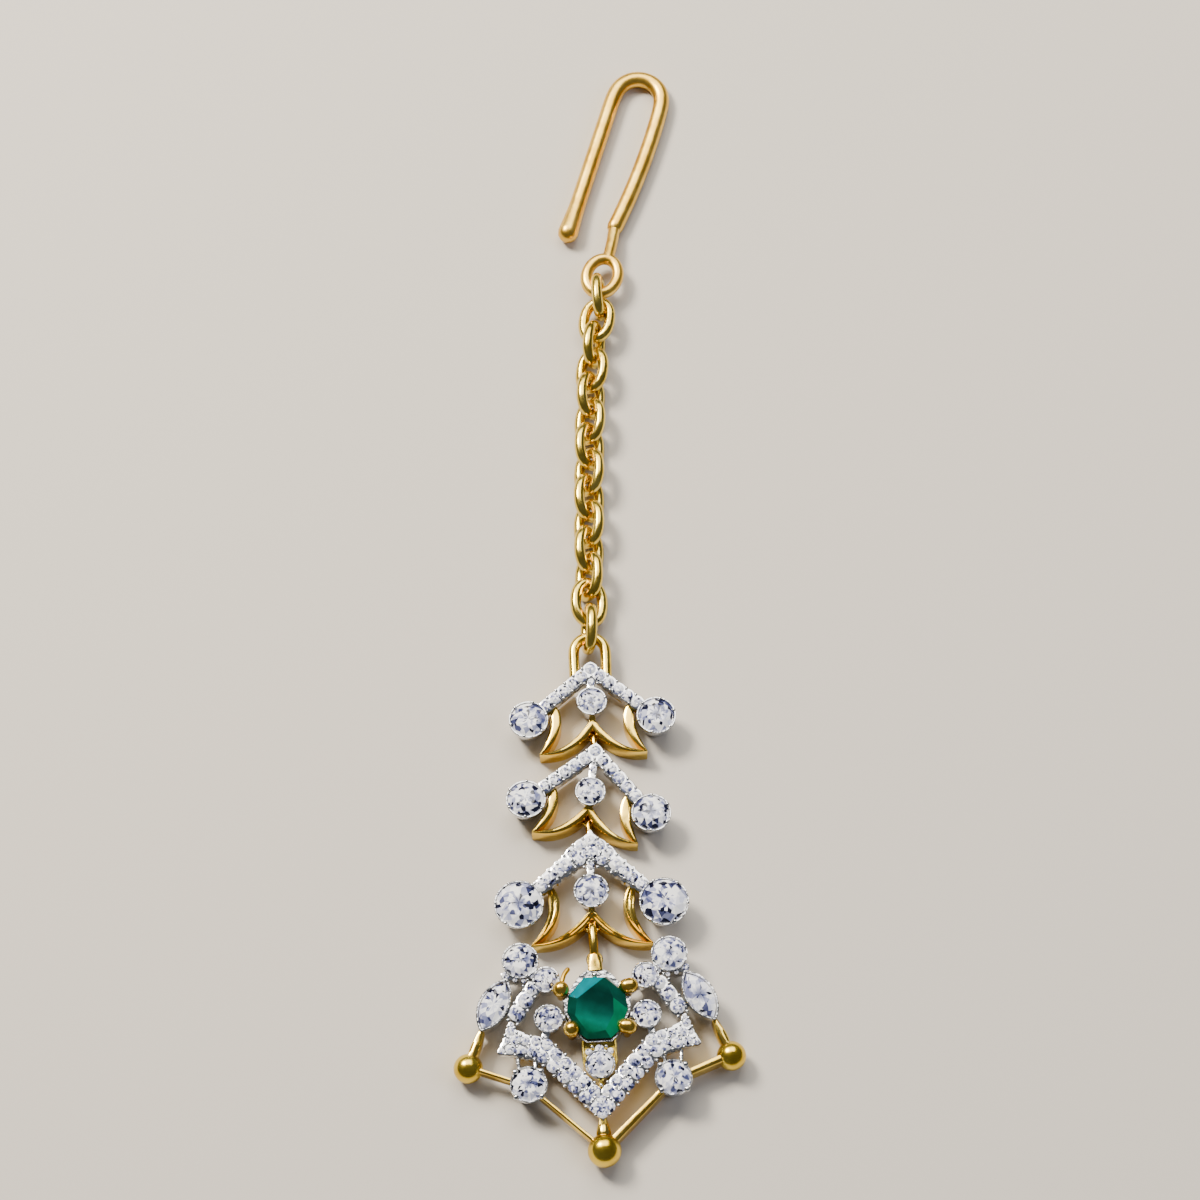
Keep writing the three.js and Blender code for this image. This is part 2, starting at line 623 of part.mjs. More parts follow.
function dropFrame() {
  const lowest = shieldSetting();
  const bores = [lowest.bore];
  const metal = [lowest.metal, lowest.baguette, ...emeraldSetting()];
  const collets = [lowest.collet];
  for (const side of [-1, 1]) {
    metal.push(...wingOf(side), ...railsOf(side), slab(marquiseOn(side), colletFoot, rimTop));
    metal.push(...sideStruts.map((strut) => bar(strut, side, strutFoot, strutTop)));
    bores.push(slab(marquiseOn(side, rimWall + clearance), -1, rimTop + 1));
    for (const { name, x, y, radius } of roundStones) {
      bores.push(colletBore(side * x, y, radius));
      collets.push(collet(side * x, y, radius));
      if (name === "claw_set") collets.push(...clawsRound(side * x, y, radius));
    }
  }
  metal.push(ball(tipBall.x, tipBall.y, tipBall.radius + floorGap, tipBall.radius));
  metal.push(bar(collar, 1, collar.foot, collar.top));
  metal.push(bar(tipStrut, 1, strutFoot, strutTop));
  const stoneRoom = solid(emeraldCut(clearance)).translate(0, 0, emerald.girdle);
  return join([join(metal).subtract(join(bores)).subtract(stoneRoom), ...collets]);
}

// Four small claws on the rim of a stone
function clawsRound(x, y, radius) {
  return Array.from({ length: clawSet.count }, (_, i) => {
    const angle = Math.PI / 4 + (2 * Math.PI * i) / clawSet.count;
    const placeX = x + radius * Math.cos(angle);
    const placeY = y + radius * Math.sin(angle);
    return upright(placeX, placeY, clawSet.radius, clawSet.tip, clawSet.foot, clawSet.top, 6)
      .subtract(colletBore(x, y, radius + rimWall / 2));
  });
}

function dropGroup() {
  const group = new THREE.Group();
  group.add(meshNamed("drop_frame", geometryOf(dropFrame()), gold));
  const stone = meshNamed("emerald", emeraldCut(), green);
  stone.position.z = emerald.girdle;
  group.add(stone);
  for (const [label, side] of [["left", -1], ["right", 1]]) {
    for (const { name, x, y, radius } of roundStones) {
      const cut = meshNamed(`drop_stone_${name}_${label}`, roundStone(heldRadius(radius)), diamond);
      cut.position.set(side * x, y, girdleHeight);
      group.add(cut);
    }
    const pointed = cutStone(marquiseInset(rimWall + 2 * clearance), marquise.crown, marquise.depth);
    const cut = meshNamed(`drop_stone_marquise_${label}`, pointed, diamond);
    cut.position.set(side * marquise.x, marquise.y, girdleHeight);
    cut.rotation.z = radians(side * marquise.lean);
    group.add(cut);
  }
  const lowest = meshNamed("drop_stone_shield", roundStone(shield.stoneRadius), diamond);
  lowest.position.set(0, shield.stoneY, girdleHeight);
  group.add(lowest);
  return group;
}

// The hair hook: a bent wire with a rounded free end, a neck and an eye for the chain
function hookSolid(eyeHeight) {
  const z = hook.wire / 2;
  const centre = new THREE.Vector2(hook.offset - hook.bendRadius, hook.legTop);
  const carrying = new THREE.Vector3(hook.offset - hook.toe, hook.neckFoot, z);
  const free = new THREE.Vector3(
    centre.x - hook.bendRadius + hook.freeToe, hook.legTop - hook.freeLeg, z);
  const bendStart = new THREE.Vector3(centre.x + hook.bendRadius, centre.y, z);
  const bendEnd = new THREE.Vector3(centre.x - hook.bendRadius, centre.y, z);
  const bend = Array.from({ length: 9 }, (_, i) => {
    const angle = (Math.PI * i) / 8;
    return new THREE.Vector3(
      centre.x + hook.bendRadius * Math.cos(angle), centre.y + hook.bendRadius * Math.sin(angle), z);
  });
  const bowed = carrying.clone().lerp(bendStart, 0.5);
  bowed.x += hook.bow;
  const line = new THREE.CatmullRomCurve3([
    carrying, bowed, ...bend, bendEnd.clone().lerp(free, 0.5), free]);
  const section = new THREE.Shape(
    ringOutline(8, hook.wire / 2).map(([x, y]) => new THREE.Vector2(x, y)));
  const wire = new THREE.ExtrudeGeometry(section, { steps: 28, extrudePath: line, bevelEnabled: false });
  const eyeTop = new THREE.Vector3(0, hook.eyeReach, eyeHeight);
  return join([
    solid(wire),
    ball(free.x, free.y, hook.tipWire / 2, hook.tipWire / 2, 10, 6),
    ball(carrying.x, carrying.y, z, hook.wire / 2, 8, 6),
    rod(carrying, eyeTop, hook.wire / 2 * 0.88, hook.eyeWire / 2),
    solid(wireLoop(hook.eyeRadius, hook.eyeReach, hook.eyeWire / 2)).translate(0, 0, eyeHeight),
  ]);
}

// Height of a link's middle when its lower side touches the surface
function restingHeight(roll) {
  const half = (linkWidth - chainWire) / 2;
  return half * Math.abs(Math.sin(radians(roll))) + chainWire / 2 + floorGap;
}

// A link is also held up by its neighbours, which may stand no more than the lean above it
function linkHeight(index) {
  const around = [index - 1, index + 1].filter((i) => i in linkRolls);
  const held = around.map((i) => restingHeight(linkRolls[i]) - linkLean);
  return Math.max(restingHeight(linkRolls[index]), ...held);
}

function ringMesh(name, ring, reach, from, heading) {
  const geometry = wireLoop(ring.halfHeight, reach / 2, ring.wire / 2).rotateY(Math.PI / 2);
  const mesh = meshNamed(name, geometry, gold);
  mesh.rotation.z = radians(heading);
  mesh.position.set(
    from.x + (Math.sin(radians(heading)) * reach) / 2,
    from.y - (Math.cos(radians(heading)) * reach) / 2, ringHeight(ring));
  return mesh;
}

const root = new THREE.Group();

// Tiers and drop, each hung from the eye of the one before
let hangFrom = firstTierAt;
const bailHeight = Math.max(restingHeight(linkRolls[0]) - linkLean, bail.wire / 2 + floorGap);
tiers.forEach((tier, index) => {
  const group = tierGroup(tier, index, bailHeight);
  const turn = radians(tier.turn);
  const holeY = index === 0 ? 0 : apexEyeY(tier);
  group.rotation.z = turn;
  group.position.set(hangFrom.x + holeY * Math.sin(turn), hangFrom.y - holeY * Math.cos(turn), 0);
  root.add(group);
  const ring = index === tiers.length - 1 ? dropRing : tierRing;
  const eyeY = cuspEyeY(tier, ring);
  const eye = new THREE.Vector2(
    group.position.x - eyeY * Math.sin(turn), group.position.y + eyeY * Math.cos(turn));
  root.add(ringMesh(`link_ring_${index + 1}`, ring, tier.ringReach, eye, tier.ringTurn));
  const heading = radians(tier.ringTurn);
  hangFrom = new THREE.Vector2(
    eye.x + Math.sin(heading) * tier.ringReach, eye.y - Math.cos(heading) * tier.ringReach);
});
const drop = dropGroup();
const lastTurn = radians(dropTurn);
drop.rotation.z = lastTurn;
drop.position.set(
  hangFrom.x + dropEyeY * Math.sin(lastTurn), hangFrom.y - dropEyeY * Math.cos(lastTurn), 0);
root.add(drop);

// Chain, from the bail of the first tier up to the hook
const firstTurn = radians(tiers[0].turn);
const linkHalf = (linkLength - chainWire) / 2;
const bailTop = bail.rise + bail.halfWidth;
let endOfLast = new THREE.Vector2(
  firstTierAt.x - bailTop * Math.sin(firstTurn), firstTierAt.y + bailTop * Math.cos(firstTurn));
let lastWire = bail.wire;
let heading = chainHeading;
linkRolls.forEach((roll, index) => {
  const last = index === linkRolls.length - 1;
  heading = chainHeading + chainDrift * (index / (linkRolls.length - 1)) ** 4 + (last ? lastLinkTurn : 0);
  const along = new THREE.Vector2(Math.sin(radians(heading)), Math.cos(radians(heading)));
  const overlap = (chainWire + lastWire) / 2 + linkSlack + (last ? lastLinkSlack : 0);
  const middle = endOfLast.clone().addScaledVector(along, linkHalf - overlap);
  const link = meshNamed(
    `chain_link_${String(index + 1).padStart(2, "0")}`,
    wireLoop((linkWidth - chainWire) / 2, linkHalf, chainWire / 2), gold);
  link.rotation.set(0, -radians(roll), -radians(heading), "ZYX");
  link.position.set(middle.x, middle.y, linkHeight(index));
  root.add(link);
  endOfLast = middle.clone().addScaledVector(along, linkHalf);
  lastWire = chainWire;
});

// Hook, its eye closed round the last link
const eyeHeight = restingHeight(linkRolls[linkRolls.length - 1]) - linkLean;
const hookMesh = meshNamed("hair_hook", geometryOf(hookSolid(eyeHeight)), gold);
const toEye = hook.eyeReach - (chainWire + hook.eyeWire) / 2 - hook.eyeSlack;
const hookTurn = radians(hook.heading);
hookMesh.rotation.z = -hookTurn;
hookMesh.position.set(
  endOfLast.x + Math.sin(hookTurn) * toEye + Math.cos(hookTurn) * hook.aside,
  endOfLast.y + Math.cos(hookTurn) * toEye - Math.sin(hookTurn) * hook.aside, 0);
root.add(hookMesh);

// The origin is the middle of the footprint, on the surface
const extent = new THREE.Box3().setFromObject(root, true);
const middle = extent.getCenter(new THREE.Vector3());
root.position.set(-middle.x, -middle.y, -extent.min.z);

export default root;
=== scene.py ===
import math

import bmesh
import bpy
from mathutils import Matrix, Vector


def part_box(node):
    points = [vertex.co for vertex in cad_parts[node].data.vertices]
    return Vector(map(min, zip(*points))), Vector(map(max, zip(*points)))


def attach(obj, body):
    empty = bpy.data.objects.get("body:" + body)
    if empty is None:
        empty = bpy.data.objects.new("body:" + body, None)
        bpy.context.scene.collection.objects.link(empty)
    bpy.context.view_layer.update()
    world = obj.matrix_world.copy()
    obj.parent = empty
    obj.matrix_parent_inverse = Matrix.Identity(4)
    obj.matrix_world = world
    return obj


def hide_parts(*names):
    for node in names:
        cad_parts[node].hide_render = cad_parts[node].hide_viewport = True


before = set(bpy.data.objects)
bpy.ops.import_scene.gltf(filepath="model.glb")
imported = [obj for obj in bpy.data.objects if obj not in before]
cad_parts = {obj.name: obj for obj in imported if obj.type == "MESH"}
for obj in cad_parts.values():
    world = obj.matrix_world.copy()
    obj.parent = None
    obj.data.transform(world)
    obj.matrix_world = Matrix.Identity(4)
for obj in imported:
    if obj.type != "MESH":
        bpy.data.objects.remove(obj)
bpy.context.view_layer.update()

# Lengths are in mm until a piece is finished. +Y runs from the drop to the hook, z = 0 is the surface.
mm = 0.001
heights = {"gallery": 2.0, "plateFoot": 1.75, "plate": 2.4, "girdle": 2.46, "rim": 2.66, "colletFoot": 0.3}
# Each member is placed by a pair of its stones: how far they lie below its origin, and how it is turned
members = {
    "tierOne": ("tier_1_stone", 4.9, 2.2), "tierTwo": ("tier_2_stone", 5.4, -6.5),
    "tierThree": ("tier_3_stone", 5.65, 1.3), "drop": ("drop_stone_claw_set", 6.85, 2.9)}
frames = {"tierOne": ["tier_1_frame"], "tierTwo": ["tier_2_frame"], "tierThree": ["tier_3_frame"],
          "drop": ["drop_frame"]}


# The middle of CAD nodes, in mm
def middleOf(*nodes):
    boxes = [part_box(node) for node in nodes]
    return sum(((low + high) / 2 / mm for low, high in boxes), Vector((0, 0, 0))) / len(boxes)


def hungFrom(stones, depth, turn):
    middle = middleOf(stones + "_left", stones + "_right")
    lean = math.radians(turn)
    return middle.x - depth * math.sin(lean), middle.y + depth * math.cos(lean), turn


places = {name: hungFrom(*member) for name, member in members.items()}
places["table"] = (0, 0, 0)  # for pieces whose places come straight from their nodes


# Shapes. Each is a pair: a list of points and a list of faces.
def joined(parts):
    points, faces = [], []
    for partPoints, partFaces in parts:
        start = len(points)
        points += [Vector(p) for p in partPoints]
        faces += [[i + start for i in face] for face in partFaces]
    return points, faces


def shift(x, y, z, turn):
    return Matrix.Translation((x, y, z)) @ Matrix.Rotation(math.radians(turn), 4, "Z")


def moved(part, x=0, y=0, z=0, turn=0):
    change = shift(x, y, z, turn)
    return [change @ Vector(p) for p in part[0]], part[1]


def flipped(part):
    return [Vector((-p[0], p[1], p[2])) for p in part[0]], [face[::-1] for face in part[1]]


def bothSides(part):
    return joined([part, flipped(part)])


# A skin over rings of points; a closed one runs on from the last ring to the first
def skinned(rings, closed=False):
    count = len(rings[0])
    faces = []
    for r in range(len(rings) - (0 if closed else 1)):
        near, far = r * count, ((r + 1) % len(rings)) * count
        for i in range(count):
            j = (i + 1) % count
            faces.append([near + i, near + j, far + j, far + i])
    if not closed:
        last = (len(rings) - 1) * count
        faces += [list(range(count))[::-1], [last + i for i in range(count)]]
    return [p for ring in rings for p in ring], faces


def bent(start, control, end, steps=14):
    line = []
    for i in range(steps + 1):
        t = i / steps
        line.append([
            (1 - t) ** 2 * start[k] + 2 * t * (1 - t) * control[k] + t * t * end[k]
            for k in range(len(start))])
    return line


# A smooth line through the given points
def smoothLine(points, steps=6):
    points = [Vector(p) for p in points]
    line = []
    for i in range(len(points) - 1):
        a, b = points[max(i - 1, 0)], points[i]
        c, d = points[i + 1], points[min(i + 2, len(points) - 1)]
        for s in range(steps):
            t = s / steps
            line.append(0.5 * (2 * b + (c - a) * t + (2 * a - 5 * b + 4 * c - d) * t * t
                               + (3 * b - a - 3 * c + d) * t ** 3))
    return line + [points[-1]]


# The same line with evenly spaced points and eased corners
def eased(line, spacing, rounds):
    line = [Vector(p) for p in line]
    result, left = [line[0]], spacing
    for a, b in zip(line, line[1:]):
        length, done = (b - a).length, 0.0
        while length - done > left:
            done += left
            result.append(a.lerp(b, done / length))
            left = spacing
        left -= length - done
    result.append(line[-1])
    for _ in range(rounds):
        inner = [(a + b * 2 + c) / 4 for a, b, c in zip(result, result[1:], result[2:])]
        result = [result[0]] + inner + [result[-1]]
    return result


# A round wire along a line; open ends are domed by three smaller rings
def wire(line, radii, sides=16, closed=False):
    line = [Vector(p) for p in line]
    count = len(line)
    radii = list(radii) if isinstance(radii, (list, tuple)) else [radii] * count
    if not closed:
        for end, inner in ((0, 1), (-1, -2)):
            out = (line[end] - line[inner]).normalized()
            tip, radius = line[end].copy(), radii[end]
            for angle in (30, 58, 80):
                at = 0 if end == 0 else len(line)
                line.insert(at, tip + out * radius * math.sin(math.radians(angle)))
                radii.insert(at, radius * math.cos(math.radians(angle)))
        count = len(line)
    rings = []
    normal = Vector((0, 0, 1))
    for i, place in enumerate(line):
        before = line[(i - 1) % count if closed else max(i - 1, 0)]
        after = line[(i + 1) % count if closed else min(i + 1, count - 1)]
        along = (after - before).normalized()
        if abs(along.dot(normal)) > 0.95:  # too steep to stand the ring up on
            normal = Vector((1, 0, 0))
        normal = (normal - along * along.dot(normal)).normalized()
        across = along.cross(normal)
        angles = [2 * math.pi * s / sides for s in range(sides)]
        rings.append([place + (across * math.cos(a) + normal * math.sin(a)) * radii[i] for a in angles])
    return skinned(rings, closed)


# A loop drawn out along Y, lying flat; a fuller one has straighter sides
def loopLine(halfWidth, halfLength, steps, full=2.0):
    line = []
    for i in range(steps * 2):
        angle = math.pi * i / steps
        x, y = math.cos(angle), math.sin(angle)
        line.append((halfWidth * math.copysign(abs(x) ** (2 / full), x),
                     halfLength * math.copysign(abs(y) ** (2 / full), y), 0))
    return line


# A section stood across a line, mirrored from the (offset, z) points of its right half
def stoodAcross(x, y, along, right):
    section = right + [(-s, z) for s, z in right[:-1]][::-1]
    return [Vector((x - along.y * s, y + along.x * s, z)) for s, z in section]


# A wall along a line with softened top edges. The widths are spread along it; a groove may run down its top.
def strip(line, widths, foot, top, edge=0.1, groove=0.0):
    rings = []
    for i, (x, y) in enumerate(line):
        before, after = line[max(i - 1, 0)], line[min(i + 1, len(line) - 1)]
        along = Vector((after[0] - before[0], after[1] - before[1])).normalized()
        share = i / (len(line) - 1) * (len(widths) - 1)
        start = min(int(share), len(widths) - 2)
        half = (widths[start] + (widths[start + 1] - widths[start]) * (share - start)) / 2
        e = min(edge, half * 0.7)
        dip = groove * min(1, half * 4)  # it runs out where the wall grows thin
        side = [(half, foot), (half, top - e), (half - e * 0.3, top - e * 0.3), (half - e, top)]
        middle = [(half * 0.28, top - dip * 0.7), (0, top - dip)] if groove else [(0, top + e * 0.15)]
        right = side + middle
        rings.append(stoodAcross(x, y, along, right))
    return skinned(rings)


def area(outline):
    return sum(a[0] * b[1] - b[0] * a[1] for a, b in zip(outline, outline[1:] + outline[:1])) / 2


def inset(outline, length):
    count = len(outline)
    result = []
    for i, here in enumerate(outline):
        here = Vector(here)
        before, after = Vector(outline[i - 1]), Vector(outline[(i + 1) % count])
        a, b = (here - before).normalized(), (after - here).normalized()
        normal = Vector((-a.y - b.y, a.x + b.x))
        if normal.length < 1e-6:
            normal = Vector((-a.y, a.x))
        normal.normalize()
        share = max(0.6, normal.dot(Vector((-a.y, a.x))))  # keeps a sharp corner from running away
        result.append(here + normal * length / share)
    return result


# An outline at one height, drawn in towards the middle
def level(outline, z, wide=1, deep=1):
    return [Vector((p[0] * wide, p[1] * deep, z)) for p in outline]


# A flat plate with softened top edges
def plate(outline, foot, top, edge=0.07):
    outline = [tuple(p) for p in outline]
    if area(outline) < 0:
        outline = outline[::-1]
    return skinned([
        level(outline, foot), level(outline, top - edge),
        level(inset(outline, edge * 0.3), top - edge * 0.3), level(inset(outline, edge), top)])


# An outline's points, about a step apart
def spaced(outline, step):
    result = []
    for a, b in zip(outline, outline[1:] + outline[:1]):
        a, b = Vector(a), Vector(b)
        count = max(1, round((b - a).length / step))
        result += [a.lerp(b, i / count) for i in range(count)]
    return result


# An outline drawn round the stones set along it, so that its edge bulges past each of them
def scalloped(outline, spots, rim, reach, step=0.1, share=0.6):
    points = spaced(outline, step)
    result = []
    for i, place in enumerate(points):
        ahead = (points[(i + 1) % len(points)] - place).normalized()
        x, y, radius = min(spots, key=lambda s: abs((place - Vector(s[:2])).length - s[2] - rim))
        out = place - Vector((x, y))
        gap = out.length - radius - rim
        if abs(gap) < reach:
            place = place - out.normalized() * gap * share
        if not result or (place - result[-1]).dot(ahead) > step * 0.15:
            result.append(place)
    return result


# A profile of (radius, z) turned about the vertical
def turnedShape(profile, sides):
    angles = [2 * math.pi * i / sides for i in range(sides)]
    rings = [[Vector((r * math.cos(a), r * math.sin(a), z)) for r, z in profile] for a in angles]
    return skinned(rings, closed=True)


def globe(radius, sides, rings, squash=1.0):
    points = [Vector((0, 0, radius * squash))]
    for i in range(1, rings):
        a = math.pi * i / rings
        for k in range(sides):
            b = 2 * math.pi * k / sides
            points.append(Vector((radius * math.sin(a) * math.cos(b), radius * math.sin(a) * math.sin(b),
                                  radius * math.cos(a) * squash)))
    points.append(Vector((0, 0, -radius * squash)))
    last = len(points) - 1
    faces = [[0, 1 + k, 1 + (k + 1) % sides] for k in range(sides)]
    for i in range(rings - 2):
        near, far = 1 + i * sides, 1 + (i + 1) * sides
        faces += [[near + k, far + k, far + (k + 1) % sides, near + (k + 1) % sides] for k in range(sides)]
    foot = 1 + (rings - 2) * sides
    faces += [[last, foot + (k + 1) % sides, foot + k] for k in range(sides)]
    return points, faces


def ringOf(count, radius, z, start=0.0):
    angles = [math.radians(start + 360 * i / count) for i in range(count)]
    return [Vector((radius * math.cos(a), radius * math.sin(a), z)) for a in angles]


# A round brilliant of radius 1. Its table is split into triangles that carry the painted arrows of the
# pavilion seen through it.
fullCut = {"crown": 0.33, "depth": 0.84, "table": 0.55, "arrow": 0.27, "star": 0.79, "starHeight": 0.6,
           "girdle": 0.02, "under": 0.34, "underDepth": 0.7, "turn": 22.5}


def brilliant(s):
    crown, depth, turn = s["crown"], s["depth"], s["turn"]
    points = ([Vector((0, 0, crown))] + ringOf(8, s["arrow"], crown, turn) + ringOf(8, s["table"], crown)
              + ringOf(8, s["star"], crown * s["starHeight"], turn)
              + ringOf(16, 1, s["girdle"]) + ringOf(16, 1, -s["girdle"])
              + ringOf(8, s["under"], -depth * s["underDepth"], turn) + [Vector((0, 0, -depth))])
    # where each ring's points start
    arrow, corner, star, upper, lower, under, culet = 1, 9, 17, 25, 41, 57, 65
    faces = []
    for k in range(8):
        n, p = (k + 1) % 8, (k - 1) % 8
        g, h, j = 2 * k, 2 * k + 1, (2 * k + 2) % 16
        faces += [
            [0, arrow + p, corner + k, arrow + k], [corner + k, corner + n, arrow + k],
            [corner + k, star + k, corner + n],
            [corner + k, star + p, upper + g], [corner + k, upper + g, star + k],
            [star + k, upper + g, upper + h], [star + k, upper + h, upper + j],
            [upper + g, lower + g, lower + h, upper + h], [upper + h, lower + h, lower + j, upper + j],
            [under + k, lower + h, lower + g], [under + k, lower + j, lower + h],
            [culet, under + k, lower + g, under + p]]
    return points, faces


# A plainer cut for the small stones
singleCut = {"crown": 0.36, "depth": 0.6, "table": 0.55}


def smallCut(s):
    points = ([Vector((0, 0, s["crown"]))] + ringOf(6, s["table"], s["crown"]) + ringOf(12, 1, 0)
              + [Vector((0, 0, -s["depth"]))])
    culet = len(points) - 1
    faces = []
    for k in range(6):
        n = (k + 1) % 6
        g, h, j = 7 + 2 * k, 8 + 2 * k, 7 + (2 * k + 2) % 12
        faces += [[0, 1 + k, 1 + n], [1 + k, g, h], [1 + k, h, 1 + n], [1 + n, h, j],
                  [culet, h, g], [culet, j, h]]
    return points, faces


# Materials
def colour(text):
    parts = [int(text[i:i + 2], 16) / 255 for i in (1, 3, 5)]
    return [p / 12.92 if p <= 0.04045 else ((p + 0.055) / 1.055) ** 2.4 for p in parts] + [1]


# Joins sockets and sets constants on a node's own sockets
def fill(tree, node, values):
    for key, value in values.items():
        if isinstance(value, bpy.types.NodeSocket):
            tree.links.new(value, node.inputs[key])
        else:
            node.inputs[key].default_value = value


def addNode(tree, kind, values={}, **settings):
    made = tree.nodes.new(kind)
    for key, value in settings.items():
        setattr(made, key, value)
    fill(tree, made, values)
    return made


def startMaterial(name):
    material = bpy.data.materials.new(name)
    material.use_nodes = True
    tree = material.node_tree
    tree.nodes.clear()
    shader = addNode(tree, "ShaderNodeBsdfPrincipled")
    addNode(tree, "ShaderNodeOutputMaterial", {"Surface": shader.outputs[0]})
    return material, tree, shader


def ramp(tree, factor, stops, constant=False):
    made = addNode(tree, "ShaderNodeValToRGB", {"Fac": factor})
    made.color_ramp.interpolation = "CONSTANT" if constant else "LINEAR"
    elements = made.color_ramp.elements
    while len(elements) < len(stops):
        elements.new(0.5)
    for element, (place, text) in zip(elements, stops):
        element.position = place
        element.color = colour(text)
    return made.outputs["Color"]


def noise(tree, place, size, detail):
    return addNode(tree, "ShaderNodeTexNoise", {
        "Vector": place, "Scale": 1 / (size * mm), "Detail": detail}).outputs["Fac"]


def worked(tree, operation, first, second):
    return addNode(tree, "ShaderNodeMath", {0: first, 1: second}, operation=operation).outputs[0]


def mixed(tree, under, over, factor=1.0, blend="MULTIPLY"):
    return addNode(tree, "ShaderNodeMix", {
        "Factor": factor, "A": under, "B": over}, data_type="RGBA", blend_type=blend).outputs["Result"]


def attribute(tree, label):
    return addNode(tree, "ShaderNodeAttribute", attribute_name=label).outputs


markDepth = 0.02  # of the polishing marks, in mm


# A cast or drawn precious metal: its colour wanders a little, and its surface carries fine polishing marks
def metal(name, s):
    material, tree, shader = startMaterial(name)
    place = addNode(tree, "ShaderNodeTexCoord").outputs["Object"]
    stretched = addNode(tree, "ShaderNodeMapping", {"Vector": place, "Scale": s["stretch"]}).outputs[0]
    marks = noise(tree, stretched, s["marks"], 4)
    spread = addNode(tree, "ShaderNodeMapRange", {
        "Value": marks, "To Min": s["smooth"], "To Max": s["rough"]})
    wavy = addNode(tree, "ShaderNodeBump", {
        "Height": noise(tree, place, s["wave"], 1), "Strength": s["waveStrength"],
        "Distance": s["waveDepth"] * mm})
    marked = addNode(tree, "ShaderNodeBump", {
        "Height": marks, "Strength": s["markStrength"], "Distance": markDepth * mm,
        "Normal": wavy.outputs[0]})
    fill(tree, shader, {
        "Base Color": ramp(tree, noise(tree, place, s["cloud"], 3), [(0.3, s["dark"]), (0.7, s["light"])]),
        "Metallic": 1, "Roughness": spread.outputs[0], "Normal": marked.outputs[0]})
    return material


# 18 carat yellow gold, polished: warm, with pale highlights and amber depths
polishedGold = metal("polishedYellowGold", {
    "dark": "#DAB040", "light": "#F7D76A", "cloud": 2.2, "marks": 0.25, "stretch": (1, 0.35, 1), "wave": 1.6,
    "waveStrength": 0.5, "waveDepth": 0.09, "markStrength": 0.25, "smooth": 0.1, "rough": 0.22})
# The chain's wire, drawn and tumbled to a shine
chainGold = metal("tumbledYellowGold", {
    "dark": "#D3B040", "light": "#F3D76A", "cloud": 1.2, "marks": 0.3, "stretch": (1, 0.3, 1), "wave": 0.9,
    "waveStrength": 0.5, "waveDepth": 0.07, "markStrength": 0.3, "smooth": 0.14, "rough": 0.28})
# The hook's wire, drawn and left matte: softer highlights, with no sharp mirror in them
drawnGold = metal("drawnPaleGold", {
    "dark": "#DDAE42", "light": "#F8D066", "cloud": 1.8, "marks": 0.3, "stretch": (1, 0.3, 1), "wave": 1.1,
    "waveStrength": 0.5, "waveDepth": 0.07, "markStrength": 0.3, "smooth": 0.26, "rough": 0.42})
# High-carat balls: greener and deeper than the frame, with a mirror polish
ballGold = metal("oliveGold", {
    "dark": "#D6B030", "light": "#F4D554", "cloud": 1.5, "marks": 0.3, "stretch": (1, 1, 1), "wave": 1.2,
    "waveStrength": 0.35, "waveDepth": 0.06, "markStrength": 0.15, "smooth": 0.16, "rough": 0.3})
# Claws of deep yellow gold, brushed by the setter's file
clawGold = metal("clawGold", {
    "dark": "#D8AA38", "light": "#F5D062", "cloud": 0.9, "marks": 0.2, "stretch": (1, 1, 1), "wave": 0.6,
    "waveStrength": 0.5, "waveDepth": 0.05, "markStrength": 0.4, "smooth": 0.16, "rough": 0.3})
# Rhodium-plated white gold: silvery and cool, cut bright round the stones
whiteGold = metal("rhodiumWhiteGold", {
    "dark": "#C3C5C9", "light": "#F4F4F5", "cloud": 0.7, "marks": 0.15, "stretch": (1, 1, 1), "wave": 0.45,
    "waveStrength": 0.7, "waveDepth": 0.06, "markStrength": 0.4, "smooth": 0.08, "rough": 0.22})


def glassy(s):
    return {"IOR": s["ior"], "Roughness": s["roughness"], "Transmission Weight": s["clear"],
            "Specular IOR Level": s["shine"]}


# A painted dark star at the culet shows in about half of the stones, told by the stone's own number
starPick = {"every": 7.0, "above": 3.2}


# A cut stone with painted reflections: each facet has a painted flash of its own, broken up by painted
# images of the facets behind it.
# In a round stone those painted images lie as rays about its middle: the pattern runs on the angle and the
# radius.
def gem(name, s):
    material, tree, shader = startMaterial(name)
    facet, spot, stone = (attribute(tree, label) for label in ("facet", "spot", "stone"))
    along = addNode(tree, "ShaderNodeSeparateXYZ", {"Vector": spot["Vector"]}).outputs
    angle = worked(tree, "ARCTAN2", along["Y"], along["X"])
    reach = addNode(tree, "ShaderNodeVectorMath", {0: spot["Vector"]}, operation="LENGTH").outputs["Value"]
    place = addNode(tree, "ShaderNodeCombineXYZ", {
        "X": worked(tree, "MULTIPLY", angle, s["rays"]), "Y": worked(tree, "MULTIPLY", reach, s["bands"]),
        "Z": stone["Fac"]}).outputs[0]
    cells = addNode(tree, "ShaderNodeTexVoronoi", {"Vector": place, "Scale": 1}).outputs["Color"]
    chance = addNode(tree, "ShaderNodeSeparateColor", {"Color": cells}).outputs["Red"]
    # painted flashes of the facets, times the painted images of the facets behind them
    paintedImages = mixed(tree, ramp(tree, facet["Fac"], s["faces"], True), ramp(tree, chance, s["paintedSparkle"], True))
    # a painted dark middle in the picked stones
    picked = worked(
        tree, "GREATER_THAN", worked(tree, "PINGPONG", stone["Fac"], starPick["every"]), starPick["above"])
    fill(tree, shader, {
        "Base Color": mixed(tree, paintedImages, ramp(tree, reach, s["paintedCentreShade"]), picked), **glassy(s)})
    return material
